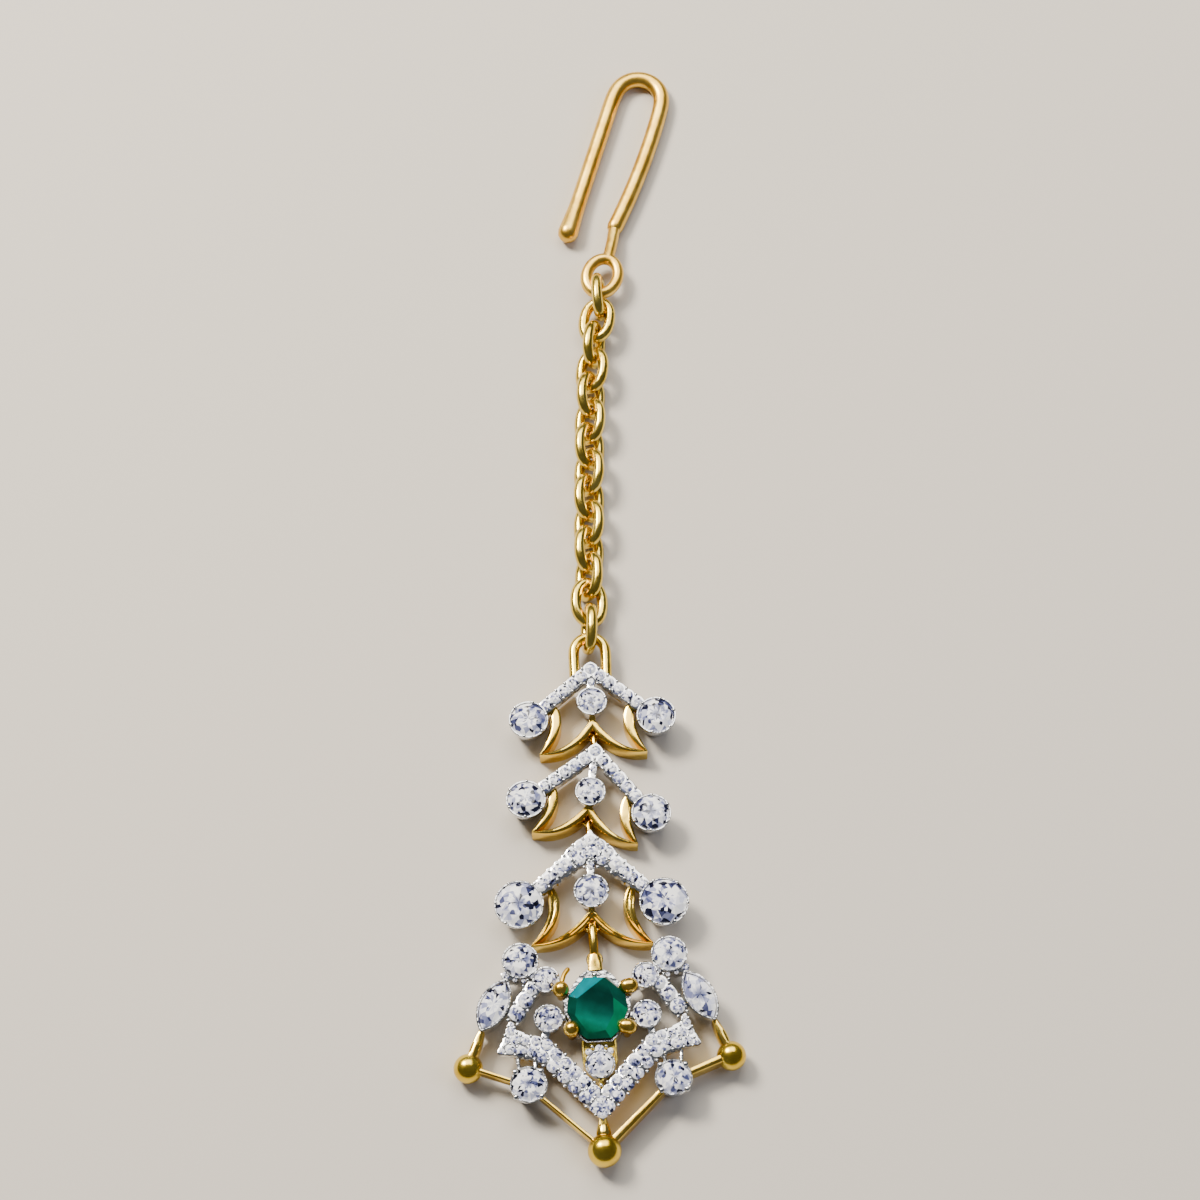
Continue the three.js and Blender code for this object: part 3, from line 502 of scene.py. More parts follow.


# Diamond: painted flashes of white and lavender, with painted dark reflections between
diamond = gem("diamond", {
    "faces": [(0.0, "#FFFFFF"), (0.6, "#ECEDF6"), (0.76, "#C2C5DA"), (0.9, "#8388A8"), (0.96, "#3A3E60")],
    "paintedSparkle": [(0.0, "#FFFFFF"), (0.48, "#DCDEEC"), (0.64, "#9A9EBC"), (0.78, "#4C5072"), (0.88, "#13162E")],
    "paintedCentreShade": [(0.0, "#565B78"), (0.16, "#9094AE"), (0.34, "#FFFFFF")],
    "rays": 3.0, "bands": 5.0, "ior": 2.42, "roughness": 0.03, "clear": 0.08, "shine": 0.15})
# The melee of the pavé gets only a few broad painted flashes each
meleeDiamond = gem("meleeDiamond", {
    "faces": [(0.0, "#FFFFFF"), (0.6, "#ECEDF6"), (0.8, "#B4B8D0"), (0.93, "#5A5F80")],
    "paintedSparkle": [(0.0, "#FFFFFF"), (0.55, "#D0D3E4"), (0.72, "#7478A0"), (0.86, "#1C203E")],
    "paintedCentreShade": [(0.0, "#7A7E98"), (0.3, "#FFFFFF")],
    "rays": 1.3, "bands": 2.2, "ior": 2.42, "roughness": 0.03, "clear": 0.05, "shine": 0.2})

# Emerald, step cut and oiled: deep blue-green. Painted shade darkens the upper part of the table and a
# painted glow turns it greener towards its foot. The crown's facets carry painted light and shade of their
# own, and soft clouds stand for the stone's garden.
emeraldLook = {
    # painted shade and glow down the table: darkest under its upper part, greener towards its foot
    "table": [(0.1, "#003A30"), (0.25, "#002A24"), (0.42, "#00322B"), (0.58, "#004A3F"), (0.72, "#006252"),
              (0.82, "#005A44"), (0.92, "#003A24")],
    # painted light and shade of the crown's facets, up to the light teal of the facet turned to the upper
    # left
    "faces": [(0.0, "#00382E"), (0.2, "#003A31"), (0.35, "#003C31"), (0.45, "#003E2C"), (0.6, "#006446"),
              (0.88, "#006E78")],
    "garden": [(0.35, "#D0DCD8"), (0.65, "#FFFFFF")], "cloud": 1.1, "crownBelow": 0.97,
    "along": (-0.3, -0.95, 0), "reach": (-2.3, 3.2),
    "ior": 1.58, "roughness": 0.05, "clear": 0.0, "shine": 0.25}


def emeraldMaterial(s, x, y):
    material, tree, shader = startMaterial("oiledEmerald")
    facet = attribute(tree, "facet")["Fac"]
    place = addNode(tree, "ShaderNodeTexCoord").outputs["Object"]
    down = addNode(tree, "ShaderNodeVectorMath", {0: place, 1: s["along"]}, operation="DOT_PRODUCT")
    start = x * s["along"][0] + y * s["along"][1]
    share = addNode(tree, "ShaderNodeMapRange", {
        "Value": down.outputs["Value"], "From Min": (start + s["reach"][0]) * mm,
        "From Max": (start + s["reach"][1]) * mm})
    onCrown = worked(tree, "LESS_THAN", facet, s["crownBelow"])
    # the table's painted shade and glow
    table = ramp(tree, share.outputs[0], s["table"])
    # the crown's facets take painted light and shade from their tones
    paintedLightGreen = mixed(tree, table, ramp(tree, facet, s["faces"], True), onCrown, "MIX")
    garden = ramp(tree, noise(tree, place, s["cloud"], 3), s["garden"])
    fill(tree, shader, {"Base Color": mixed(tree, paintedLightGreen, garden), **glassy(s)})
    return material


emeraldGreen = emeraldMaterial(emeraldLook, *places["drop"][:2])
print("materials done")


# Pieces
def shown(name, data):
    made = bpy.data.objects.new(name, data)
    bpy.context.scene.collection.objects.link(made)
    return made


# The angle in degrees up to which faces shade as one, by the kind of piece; 0 leaves every facet flat
smoothing = {"matte wire": 60, "wire": 70, "gallery": 38, "setting": 35, "bead": 60, "ball": 80, "stone": 0}


def dressed(name, mesh, material, kind, nodes):
    mesh.validate()
    work = bmesh.new()
    work.from_mesh(mesh)
    bmesh.ops.recalc_face_normals(work, faces=work.faces)
    work.to_mesh(mesh)
    work.free()
    mesh.materials.clear()
    mesh.materials.append(material)
    smooth = smoothing[kind]
    mesh.polygons.foreach_set("use_smooth", [bool(smooth)] * len(mesh.polygons))
    if smooth:
        mesh.set_sharp_from_angle(angle=math.radians(smooth))
    made = shown(name, mesh)
    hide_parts(*nodes)
    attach(made, "root")
    return made


# A part laid in its member's place; it stands for the member's frame unless other nodes are named
def finished(name, member, part, material, kind, nodes=None):
    x, y, turn = places[member]
    points, faces = moved(part, x, y, 0, turn)
    mesh = bpy.data.meshes.new(name)
    mesh.from_pydata([p * mm for p in points], [], faces)
    return dressed(name, mesh, material, kind, nodes or frames[member])


# Node group that sets one shape on every point, gives each facet a random tone for the stones' painted
# flashes, and makes it all one mesh
def setOnPoints(tones=90.0):
    group = bpy.data.node_groups.new("setOnPoints", "GeometryNodeTree")
    for label, kind in (("Points", "NodeSocketGeometry"), ("Shape", "NodeSocketObject"),
                        ("Metal or Stone", "NodeSocketMaterial"), ("Seed", "NodeSocketInt")):
        group.interface.new_socket(label, in_out="INPUT", socket_type=kind)
    group.interface.new_socket("Set", in_out="OUTPUT", socket_type="NodeSocketGeometry")
    given = addNode(group, "NodeGroupInput").outputs
    shape = addNode(group, "GeometryNodeObjectInfo", {"Object": given["Shape"]})
    size = addNode(group, "GeometryNodeInputNamedAttribute", {"Name": "size"}, data_type="FLOAT")
    turn = addNode(group, "GeometryNodeInputNamedAttribute", {"Name": "turn"}, data_type="FLOAT_VECTOR")
    spread = addNode(group, "GeometryNodeInstanceOnPoints", {
        "Points": given["Points"], "Instance": shape.outputs["Geometry"],
        "Rotation": turn.outputs["Attribute"], "Scale": size.outputs["Attribute"]})
    number = addNode(group, "FunctionNodeRandomValue", {"Seed": given["Seed"], 3: tones}, data_type="FLOAT")
    marked = addNode(group, "GeometryNodeStoreNamedAttribute", {
        "Geometry": spread.outputs[0], "Name": "stone", "Value": number.outputs[1]},
        data_type="FLOAT", domain="INSTANCE")
    real = addNode(group, "GeometryNodeRealizeInstances", {"Geometry": marked.outputs[0]})
    chance = addNode(group, "FunctionNodeRandomValue", {"Seed": given["Seed"]}, data_type="FLOAT")
    toned = addNode(group, "GeometryNodeStoreNamedAttribute", {
        "Geometry": real.outputs[0], "Name": "facet", "Value": chance.outputs[1]},
        data_type="FLOAT", domain="FACE")
    covered = addNode(group, "GeometryNodeSetMaterial", {
        "Geometry": toned.outputs[0], "Material": given["Metal or Stone"]})
    addNode(group, "NodeGroupOutput", {"Set": covered.outputs[0]})
    return group


setter = setOnPoints()
# Seeds of the facets' painted flashes, and the turn in degrees from each stone to the next
seeds = {"tierPave": 3, "tierStones": 11, "marquises": 29, "dropPave": 41, "dropStones": 53}
turnsBetween = {"tierPave": 40, "tierStones": 11, "dropPave": 37, "dropStones": 17}


# A spot that lies flat
def flat(x, y, z, size, turn=0):
    return (x, y, z), size, (0, 0, math.radians(turn))


# Stones of (x, y, radius), each turned further than the one before
def stoneSpots(stones, z, turn, gap=0):
    return [flat(x, y, z, r - gap, turn * i) for i, (x, y, r) in enumerate(stones)]


def atPlace(spots, member):
    x, y, turn = places[member]
    change = shift(x, y, 0, turn)
    return [(change @ Vector(p), size, (t[0], t[1], t[2] + math.radians(turn))) for p, size, t in spots]


# Spots are (place, size, turn as three angles)
def repeated(name, member, shape, spots, material, kind, nodes=None, seed=1):
    spots = atPlace(spots, member)
    pattern = shown(name + "Pattern", bpy.data.meshes.new(name + "Pattern"))
    pattern.data.from_pydata(shape[0], [], shape[1])
    reach = max(math.hypot(p[0], p[1]) for p in shape[0])
    pattern.data.attributes.new("spot", "FLOAT_VECTOR", "POINT").data.foreach_set(
        "vector", [value for p in shape[0] for value in (p[0] / reach, p[1] / reach, 0)])
    mesh = bpy.data.meshes.new(name + "Spots")
    mesh.from_pydata([Vector(place) for place, _, _ in spots], [], [])
    mesh.attributes.new("size", "FLOAT", "POINT").data.foreach_set("value", [size for _, size, _ in spots])
    mesh.attributes.new("turn", "FLOAT_VECTOR", "POINT").data.foreach_set(
        "vector", [angle for _, _, turn in spots for angle in turn])
    holder = shown(name + "Spots", mesh)
    modifier = holder.modifiers.new("setOnPoints", "NODES")
    modifier.node_group = setter
    values = {"Shape": pattern, "Metal or Stone": material, "Seed": seed}
    for item in setter.interface.items_tree:
        if item.in_out == "INPUT" and item.name in values:
            modifier[item.identifier] = values[item.name]
    seen = bpy.context.evaluated_depsgraph_get()
    made = bpy.data.meshes.new_from_object(holder.evaluated_get(seen))
    made.name = name
    made.transform(Matrix.Scale(mm, 4))
    for old in (holder, pattern):
        data = old.data
        bpy.data.objects.remove(old)
        bpy.data.meshes.remove(data)
    return dressed(name, made, material, kind, nodes or frames[member])


# Beads of metal where neighbouring stones nearly touch, clear of the stones themselves
def beadsBetween(stones, radius, z, near=1.45, clear=0.9, apart=1.5):
    beads = []
    for i, (ax, ay, ar) in enumerate(stones):
        for bx, by, br in stones[i + 1:]:
            a, b = Vector((ax, ay)), Vector((bx, by))
            if (b - a).length > (ar + br) * near:
                continue
            middle = a + (b - a) * (ar / (ar + br))
            across = Vector((a.y - b.y, b.x - a.x)).normalized() * (ar + br) * 0.5
            for place in (middle + across, middle - across):
                if all((place - Vector(s[:2])).length > s[2] * clear for s in stones) and all(
                        (place - Vector(o[0][:2])).length > radius * apart for o in beads):
                    beads.append(flat(place.x, place.y, z, radius))
    return beads


# Hair hook. Its eye hangs in the last link of the chain, whose sizes it needs.
hook = {
    "wire": 1.62, "bulb": 2.05, "bulbLength": 4.0, "swell": 1.4, "offset": -0.05, "bend": 2.48, "top": 21.6,
    "freeLeg": 17.4, "toe": 0.45, "freeToe": 0.25, "bow": 0.7, "neckFoot": 6.3, "neck": 1.3, "taper": 0.6,
    "neckTop": [(0.03, 0.6, 0), (0.03, -0.35, 0.05)], "neckAside": -0.22,
    "eye": 1.52, "eyeReach": 2.0, "eyeWire": 1.16, "eyeSlack": 0.3, "eyeLow": 0.2, "aside": 0.25,
    "turn": 16.4, "lastLinkTurn": -3.1}
chain = {
    "wire": 1.05, "length": 5.07, "width": 3.7, "full": 2.25, "heading": -0.1, "drift": 10, "curl": 4,
    "lastTurn": -13,
    "rolls": [78, -20, 52, -48, 45, -45, 45, -46, 42, -50, 35, -65, 15, -80]}


def hookShape(s):
    z = s["wire"] / 2
    eyeZ = middleOf("chain_link_14").z - s["eyeLow"]
    middle = s["offset"] - s["bend"]
    carrying = Vector((s["offset"] - s["toe"], s["neckFoot"], z))
    free = Vector((middle - s["bend"] + s["freeToe"], s["top"] - s["freeLeg"], z))
    angles = [math.pi * i / 40 for i in range(41)]
    arc = [Vector((middle + s["bend"] * math.cos(a), s["top"] + s["bend"] * math.sin(a), z)) for a in angles]
    bow = carrying.lerp(arc[0], 0.5) + Vector((s["bow"], 0, 0))
    line = eased(bent(carrying, bow, arc[0], steps=20) + arc[1:] + [free], spacing=0.4, rounds=10)
    radii = []
    for place in line:
        swell = max(0, 1 - (place - free).length / s["bulbLength"]) ** s["swell"]
        radii.append((s["wire"] + swell * (s["bulb"] - s["wire"])) / 2)
        place.z = radii[-1]
    neck = smoothLine([carrying + Vector(p) for p in s["neckTop"]] + [
        Vector((s["neckAside"], (s["neckFoot"] + s["eyeReach"]) / 2, (z + eyeZ) / 2)),
        Vector((0, s["eyeReach"], eyeZ))])
    thinning = [min(1, i / (len(neck) * s["taper"])) for i in range(len(neck))]
    taper = [(s["neck"] + (s["eyeWire"] - s["neck"]) * share) / 2 for share in thinning]
    eye = wire(loopLine(s["eye"], s["eyeReach"], steps=20), s["eyeWire"] / 2, sides=18, closed=True)
    return joined([wire(line, radii, sides=22), wire(neck, taper, sides=18), moved(eye, z=eyeZ)])


def hookPlace(s, link):
    lean, turn = math.radians(s["lastLinkTurn"]), math.radians(s["turn"])
    toEnd = (link["length"] - link["wire"]) / 2
    toEye = s["eyeReach"] - (link["wire"] + s["eyeWire"]) / 2 - s["eyeSlack"]
    start = middleOf("chain_link_14")
    x = start.x + math.sin(lean) * toEnd + math.sin(turn) * toEye + math.cos(turn) * s["aside"]
    y = start.y + math.cos(lean) * toEnd + math.cos(turn) * toEye - math.sin(turn) * s["aside"]
    return x, y, -s["turn"]


places["hook"] = hookPlace(hook, chain)
finished("hairHook", "hook", hookShape(hook), drawnGold, "matte wire", ["hair_hook"])
print("hair hook done")


# Cable chain: each link is turned about the line of the chain by its roll
def chainSpots(s, nodes):
    spots = []
    last = len(nodes) - 1
    for i, (node, roll) in enumerate(zip(nodes, s["rolls"])):
        heading = s["heading"] + s["drift"] * (i / last) ** s["curl"] + (s["lastTurn"] if i == last else 0)
        spots.append((middleOf(node), 1, (0, -math.radians(roll), -math.radians(heading))))
    return spots


def linkShape(s):
    line = loopLine((s["width"] - s["wire"]) / 2, (s["length"] - s["wire"]) / 2, 14, s["full"])
    return wire(line, s["wire"] / 2, sides=14, closed=True)


linkNodes = [f"chain_link_{i + 1:02d}" for i in range(len(chain["rolls"]))]
repeated("cableChain", "table", linkShape(chain), chainSpots(chain, linkNodes), chainGold, "wire", linkNodes)
print("chain done")

# Rings between the members
rings = {
    "one": {"wire": 0.5, "halfHeight": 0.55, "reach": 2.05, "turn": 6.8, "node": "link_ring_1"},
    "two": {"wire": 0.5, "halfHeight": 0.55, "reach": 2.25, "turn": 6.3, "node": "link_ring_2"},
    "three": {"wire": 0.8, "halfHeight": 0.78, "reach": 3.2, "turn": 4.2, "node": "link_ring_3"}}


def ringShape(s):
    middle = middleOf(s["node"])
    line = loopLine(s["halfHeight"], s["reach"] / 2, steps=14, full=2.5)
    points, faces = wire(line, s["wire"] / 2, sides=14, closed=True)
    stood = [Matrix.Rotation(math.pi / 2, 4, "Y") @ p for p in points]
    return moved((stood, faces), middle.x, middle.y, middle.z, s["turn"])


finished("linkRings", "table", joined([ringShape(s) for s in rings.values()]), polishedGold, "wire",
         [s["node"] for s in rings.values()])
print("rings done")

# The three tiers. A ring hangs in the eye on the underside of each, and in an upper eye of the next.
smallEye = {"hole": 0.33, "wall": 0.22, "thick": 0.4, "drop": 1.28, "z": 0.82}
bigEye = {"hole": 0.48, "wall": 0.27, "thick": 0.5, "drop": 1.42, "z": 1.2}
tiers = {
    "tierOne": {
        "node": "tier_1", "halfSpan": 5.87, "drop": 4.9, "band": 1.42, "apexBand": 1.42,
        "sideStone": 1.83, "centreStone": 1.4, "centreDrop": 3.27, "cuspDrop": 4.75,
        "tip": (4.9, 8.15), "waist": (3.45, 5.5), "groove": 0.0, "eye": smallEye},
    "tierTwo": {
        "node": "tier_2", "halfSpan": 5.72, "drop": 5.4, "band": 1.42, "apexBand": 1.5,
        "sideStone": 1.83, "centreStone": 1.4, "centreDrop": 3.97, "cuspDrop": 4.95,
        "tip": (4.8, 8.25), "waist": (3.45, 6.0), "groove": 0.0, "eye": smallEye},
    "tierThree": {
        "node": "tier_3", "halfSpan": 6.49, "drop": 5.65, "band": 1.62, "apexBand": 2.15,
        "sideStone": 2.25, "centreStone": 1.6, "centreDrop": 4.5, "cuspDrop": 5.95,
        "tip": (5.4, 9.3), "waist": (3.45, 6.7), "groove": 0.16, "eye": bigEye}}
gallery = {
    "sideWidths": (0.3, 0.8, 1.0, 1.0, 0.94, 0.8, 0.55, 0.12),
    "arcWidths": (0.72, 0.78, 0.72, 0.58, 0.36, 0.1),
    "arcSag": 0.38, "edge": 0.2, "topInset": 0.34, "cuspLow": 0.38, "cuspHalf": 0.72, "cuspDeep": (0.5, 0.1),
    "brace": ((0.62, 0.62), 0.55, 1.85), "braceStart": 0.3, "braceRun": 0.25,
    "strut": ((0.6, 0.6), 0.55, 1.5), "strutLow": 0.3, "strutStone": 0.7, "eyeBack": 0.45}
upperEye = {"low": 0.87, "reach": 1.23, "postTop": 0.73, "post": ((0.62, 0.62), 0.62, 1.85)}
pave = {"radius": 0.53, "pitch": 0.98, "bead": 0.16, "rim": 0.14, "reach": 0.26, "girdle": 2.42,
        "first": 0.05, "end": 0.4, "edge": 0.1, "wide": 0.6, "apexWide": 0.3,
        "under": 0.2,
        "twoRows": {"from": 0.2, "stones": 2, "offsets": (0.47, -0.5), "back": 0.25, "radius": 0.5}}
neckPiece = {"stone": 0.34, "up": 0.05, "low": 0.2, "strip": ((0.7, 0.8), 1.6, 2.34)}


# An eye for a ring, on a stalk that starts inside its wall and runs back to the gallery
def eyeShape(y, eye, backY, edge=0.08, stalkIn=0.1, stalkWide=1.5):
    low, high = eye["z"] - eye["thick"] / 2, eye["z"] + eye["thick"] / 2
    hole, outer = eye["hole"], eye["hole"] + eye["wall"]
    profile = [(hole, low), (outer, low), (outer, high - edge), (outer - edge, high),
               (hole + edge, high), (hole, high - edge)]
    near, far = sorted((y + math.copysign(hole + stalkIn, backY - y), backY))
    stalk = strip([(0, near), (0, far)], (outer * stalkWide,) * 2, low, high, edge)
    return joined([moved(turnedShape(profile, sides=28), 0, y), stalk])


# The chevron's right arm, which runs in under the collet's rim: its length, and its direction from the apex
def armOf(t):
    length = math.hypot(t["halfSpan"], t["drop"])
    return length, t["halfSpan"] / length, -t["drop"] / length


def galleryShape(t, s):
    tipX, tipY = t["tip"]
    waistX, waistY = t["waist"]
    topX = t["halfSpan"] - t["sideStone"] - s["topInset"]
    topY = -t["drop"] * topX / t["halfSpan"]
    cuspY = -t["cuspDrop"] - s["cuspLow"]
    top, cuspHalf = heights["gallery"], s["cuspHalf"]
    side = bent((topX, topY), (waistX * 2 - (topX + tipX) / 2, -waistY), (tipX, -tipY), steps=18)
    arc = bent((0, cuspY), (tipX * s["arcSag"], -tipY), (tipX, -tipY), steps=18)
    length, alongX, alongY = armOf(t)
    ends = [length * s["braceStart"], length - t["sideStone"] + s["braceRun"]]
    right = joined([
        strip(side, s["sideWidths"], 0, top, s["edge"], t["groove"]),
        strip(arc, s["arcWidths"], 0, top, s["edge"], t["groove"]),
        strip([(alongX * at, alongY * at) for at in ends], *s["brace"])])
    low, high = (cuspY - deep for deep in s["cuspDeep"])
    cusp = plate([(-cuspHalf, low), (0, high), (cuspHalf, low), (0, -t["cuspDrop"])], 0, top)
    strutTop = -t["centreDrop"] - t["centreStone"] * s["strutStone"]
    strut = strip([(0, -t["cuspDrop"] - s["strutLow"]), (0, strutTop)], *s["strut"])
    eye = eyeShape(-t["cuspDrop"] - t["eye"]["drop"], t["eye"], -t["cuspDrop"] - s["eyeBack"])
    return joined([bothSides(right), cusp, strut, eye])


def apexRise(t):
    return t["apexBand"] / 2 * math.hypot(t["halfSpan"], t["drop"]) / t["halfSpan"]


# The loop behind the first apex; its legs run in under the pavé
bail = {"half": 1.5, "rise": 2.1, "wire": 1.02, "foot": -0.75, "low": 0.2, "legIn": 0.05}


def bailShape(s):
    z = middleOf("chain_link_01").z - s["low"]
    angles = [math.pi * i / 20 for i in range(21)]
    arc = [(s["half"] * math.cos(a), s["rise"] + s["half"] * math.sin(a), z) for a in angles]
    leg = s["half"] - s["legIn"]
    line = eased([(leg, s["foot"], z)] + arc + [(-leg, s["foot"], z)], spacing=0.25, rounds=4)
    return wire(line, s["wire"] / 2, sides=18)


# The pavé stones of a tier as (x, y, radius); a broad apex has two rows
def tierPave(t, s):
    length, alongX, alongY = armOf(t)
    end = length - t["sideStone"]
    count = math.floor((end - s["end"]) / s["pitch"])
    pitch = (end - s["end"]) / count
    spread = t["apexBand"] / t["band"] - 1
    rows = s["twoRows"]
    right = []
    for i in range(1, count + 1):
        if spread > rows["from"] and i <= rows["stones"]:
            at = i * pitch - rows["back"]
            right += [(alongX * at - alongY * offset, alongY * at + alongX * offset, rows["radius"])
                      for offset in rows["offsets"]]
        else:
            wide = 1 + spread * (1 - i / count) * s["wide"]
            radius = min(s["radius"] * wide, t["band"] / 2 - s["edge"])
            right.append((alongX * i * pitch, alongY * i * pitch, radius))
    first = (0, s["first"] + spread * s["wide"], s["radius"] * (1 + spread * s["apexWide"]))
    return [first] + right + [(-x, y, r) for x, y, r in right]


def chevronOutline(t):
    length, alongX, alongY = armOf(t)
    end = length - t["sideStone"] + pave["under"]
    rise, half = apexRise(t), t["band"] / 2
    outer = (alongX * end - alongY * half, alongY * end + alongX * half)
    inner = (alongX * end + alongY * half, alongY * end - alongX * half)
    return [(0, rise), (-outer[0], outer[1]), (-inner[0], inner[1]), (0, -rise), inner, outer]


# A tapered collet with a bright rim: up its outside, over the rim and down its inside
def colletShape(radius):
    top, girdle, foot = heights["rim"], heights["girdle"], heights["colletFoot"]
    return turnedShape([
        (radius * 0.5, foot), (radius * 0.68, foot), (radius - 0.02, girdle - 0.2), (radius, girdle - 0.1),
        (radius, top - 0.06), (radius - 0.05, top), (radius - 0.12, top), (radius - 0.15, top - 0.08),
        (radius - 0.17, girdle - 0.25), (radius * 0.6, foot + 0.5)], 40)


# Prongs: small beads in a ring on a collet's rim, set in a little from its edge
def prongSpots(x, y, radius, count, start, size, z=heights["rim"]):
    angles = [math.radians(start + 360 * i / count) for i in range(count)]
    return [flat(x + radius * math.cos(a), y + radius * math.sin(a), z, size) for a in angles]


bead = globe(1, sides=10, rings=6, squash=0.8)
setStone = {"gap": 0.16, "prongIn": 0.13, "prong": 0.17, "bigFrom": 1.5, "bigProngs": 6, "prongs": 4,
            "prongTurn": 15, "tierTurn": 20, "beadRise": 0.06}
for index, (name, t) in enumerate(tiers.items()):
    metalParts = [galleryShape(t, gallery)]
    if index > 0:
        eyeY = apexRise(t) - upperEye["low"]
        post = strip([(0, eyeY - upperEye["reach"]), (0, eyeY - upperEye["postTop"])], *upperEye["post"])
        metalParts += [eyeShape(eyeY, smallEye, eyeY - upperEye["reach"]), post]
    finished(name + "Gallery", name, joined(metalParts), polishedGold, "gallery")
    if index == 0:
        finished("bailLoop", name, bailShape(bail), chainGold, "wire")
    stones = tierPave(t, pave)
    centreTop = -t["centreDrop"] + t["centreStone"]
    neck = (0, (centreTop - apexRise(t)) / 2 + neckPiece["up"], neckPiece["stone"])
    outline = scalloped(chevronOutline(t), stones, pave["rim"], pave["reach"])
    single = [(-t["halfSpan"], -t["drop"], t["sideStone"]), (t["halfSpan"], -t["drop"], t["sideStone"]),
              (0, -t["centreDrop"], t["centreStone"])]
    whiteParts = [plate(outline, heights["plateFoot"], heights["plate"]),
                  strip([(0, centreTop - neckPiece["low"]), (0, 0)], *neckPiece["strip"])]
    whiteParts += [moved(colletShape(r), x, y) for x, y, r in single]
    finished(name + "Setting", name, joined(whiteParts), whiteGold, "setting")
    beads = beadsBetween(stones + [neck], pave["bead"], heights["plate"] + setStone["beadRise"])
    for x, y, r in single:
        count = setStone["bigProngs" if r > setStone["bigFrom"] else "prongs"]
        turn = setStone["prongTurn"] + setStone["tierTurn"] * index
        beads += prongSpots(x, y, r - setStone["prongIn"], count, turn, setStone["prong"])
    repeated(name + "Beads", name, bead, beads, whiteGold, "bead")
    spots = stoneSpots(stones + [neck], pave["girdle"], turnsBetween["tierPave"])
    repeated(name + "PaveStones", name, smallCut(singleCut), spots, meleeDiamond, "stone",
             seed=seeds["tierPave"] + index)
    spots = stoneSpots(single, heights["girdle"], turnsBetween["tierStones"], setStone["gap"])
    stoneNodes = [f"{t['node']}_stone_{side}" for side in ("left", "right", "centre")]
    repeated(name + "Stones", name, brilliant(fullCut), spots, diamond, "stone", stoneNodes,
             seeds["tierStones"] + index)
    print(name, "done")

# The drop's pavé V with its wings
wings = {
    "outline": [(0, -10.32), (2.83, -7.29), (5.03, -4.97), (7.0, -4.35), (9.15, -3.96), (8.35, -2.5),
                (7.75, -0.91), (7.1, -1.85), (6.2, -2.25), (4.85, -2.72), (2.2, -5.1), (0, -7.73)],
    "rows": [[(0.55, -9.15), (5.0, -4.35)], [(0.6, -7.75), (4.6, -3.35)]],
    "middle": [(0, -9.72, 0.45), (0, -8.6, 0.5)],
    "extra": [(5.85, -3.85, 0.52), (5.5, -2.95, 0.45), (6.85, -3.7, 0.5), (6.45, -2.85, 0.42),
              (7.8, -3.55, 0.46), (7.35, -2.75, 0.46), (8.55, -3.7, 0.26), (7.75, -1.95, 0.38),
              (8.05, -2.75, 0.28), (7.6, -1.35, 0.22)],
    "radius": 0.57, "pitch": 1.16, "rim": 0.1, "reach": 0.22}


def rowStones(row, radius, pitch):
    start, end = Vector(row[0]), Vector(row[1])
    count = int((end - start).length / pitch)
    step = (end - start) / count
    return [(*(start + step * i), radius) for i in range(count + 1)]


wingStones = [s for row in wings["rows"] for s in rowStones(row, wings["radius"], wings["pitch"])]
wingStones += wings["extra"]
wingOutline = scalloped(wings["outline"], wingStones, wings["rim"], wings["reach"])
settingParts = [bothSides(plate(wingOutline, heights["plateFoot"], heights["plate"]))]

# The zig-zag bars, and the bridge from them up to the cluster
bars = {
    "zigzag": {"from": (7.5, -0.95), "to": (5.35, 2.3), "width": 1.6,
               "stones": [(7.1, -0.36, 0.7), (6.32, 0.82, 0.68), (5.62, 1.88, 0.56)]},
    "bridge": {"from": (5.2, 3.4), "to": (8.3, 3.0), "width": 0.8,
               "stones": [(7.95, 3.2, 0.36), (5.55, 3.1, 0.34), (7.15, 2.75, 0.2), (6.4, 2.6, 0.2)]}}
barEdge = {"rim": 0.1, "reach": 0.3, "foot": 1.15}


def barOutline(s):
    start, end = Vector(s["from"]), Vector(s["to"])
    along = (end - start).normalized()
    across = Vector((-along.y, along.x)) * s["width"] / 2
    return [start + across, start - across, end - across, end + across]


paveStones = list(wingStones)
for bar in bars.values():
    outline = scalloped(barOutline(bar), bar["stones"], barEdge["rim"], barEdge["reach"])
    settingParts.append(bothSides(plate(outline, barEdge["foot"], heights["plate"])))
    paveStones += bar["stones"]
paveStones += [(-x, y, r) for x, y, r in paveStones] + wings["middle"]
print("wings done")

# Collets of the drop's round stones
drop = {
    "cluster_upper": (6.62, 4.45, 1.66), "cluster_lower": (4.4, 2.6, 1.22),
    "flank": (4.33, -0.98, 1.31), "claw_set": (6.33, -6.85, 1.66)}
roundStones = [(side * x, y, r) for side in (-1, 1) for x, y, r in drop.values()]
roundNodes = [f"drop_stone_{stone}_{side}" for side in ("left", "right") for stone in drop]
settingParts += [moved(colletShape(r), x, y) for x, y, r in roundStones]
roundSpots = stoneSpots(roundStones, heights["girdle"], turnsBetween["dropStones"], setStone["gap"])

# Marquises
marquise = {
    "x": 9.1, "y": 0.5, "length": 5.4, "width": 2.75, "lean": 28, "stoneLength": 4.65, "stoneWidth": 2.33,
    "crown": 0.42, "depth": 1.0, "table": (0.5, 0.55), "star": (0.78, 0.8), "starHeight": 0.6,
    "foot": (0.8, 0.86), "rise": 0.02, "inside": (0.6, 0.66), "floor": 0.3,
    "wall": [(1, 1, 0.5), (1, 1, 0.06), (0.95, 0.965, 0), (0.9, 0.93, 0), (0.86, 0.9, 0.08),
             (0.84, 0.88, 0.4)]}


def marquiseLine(length, width, steps):
    radius = length * length / (4 * width) + width / 4
    reach = math.asin(length / 2 / radius)
    line = []
    for side in (1, -1):
        for i in range(steps):
            angle = -reach + 2 * reach * i / steps
            x = radius * math.cos(angle) - radius + width / 2
            line.append((side * x, side * radius * math.sin(angle)))
    return line


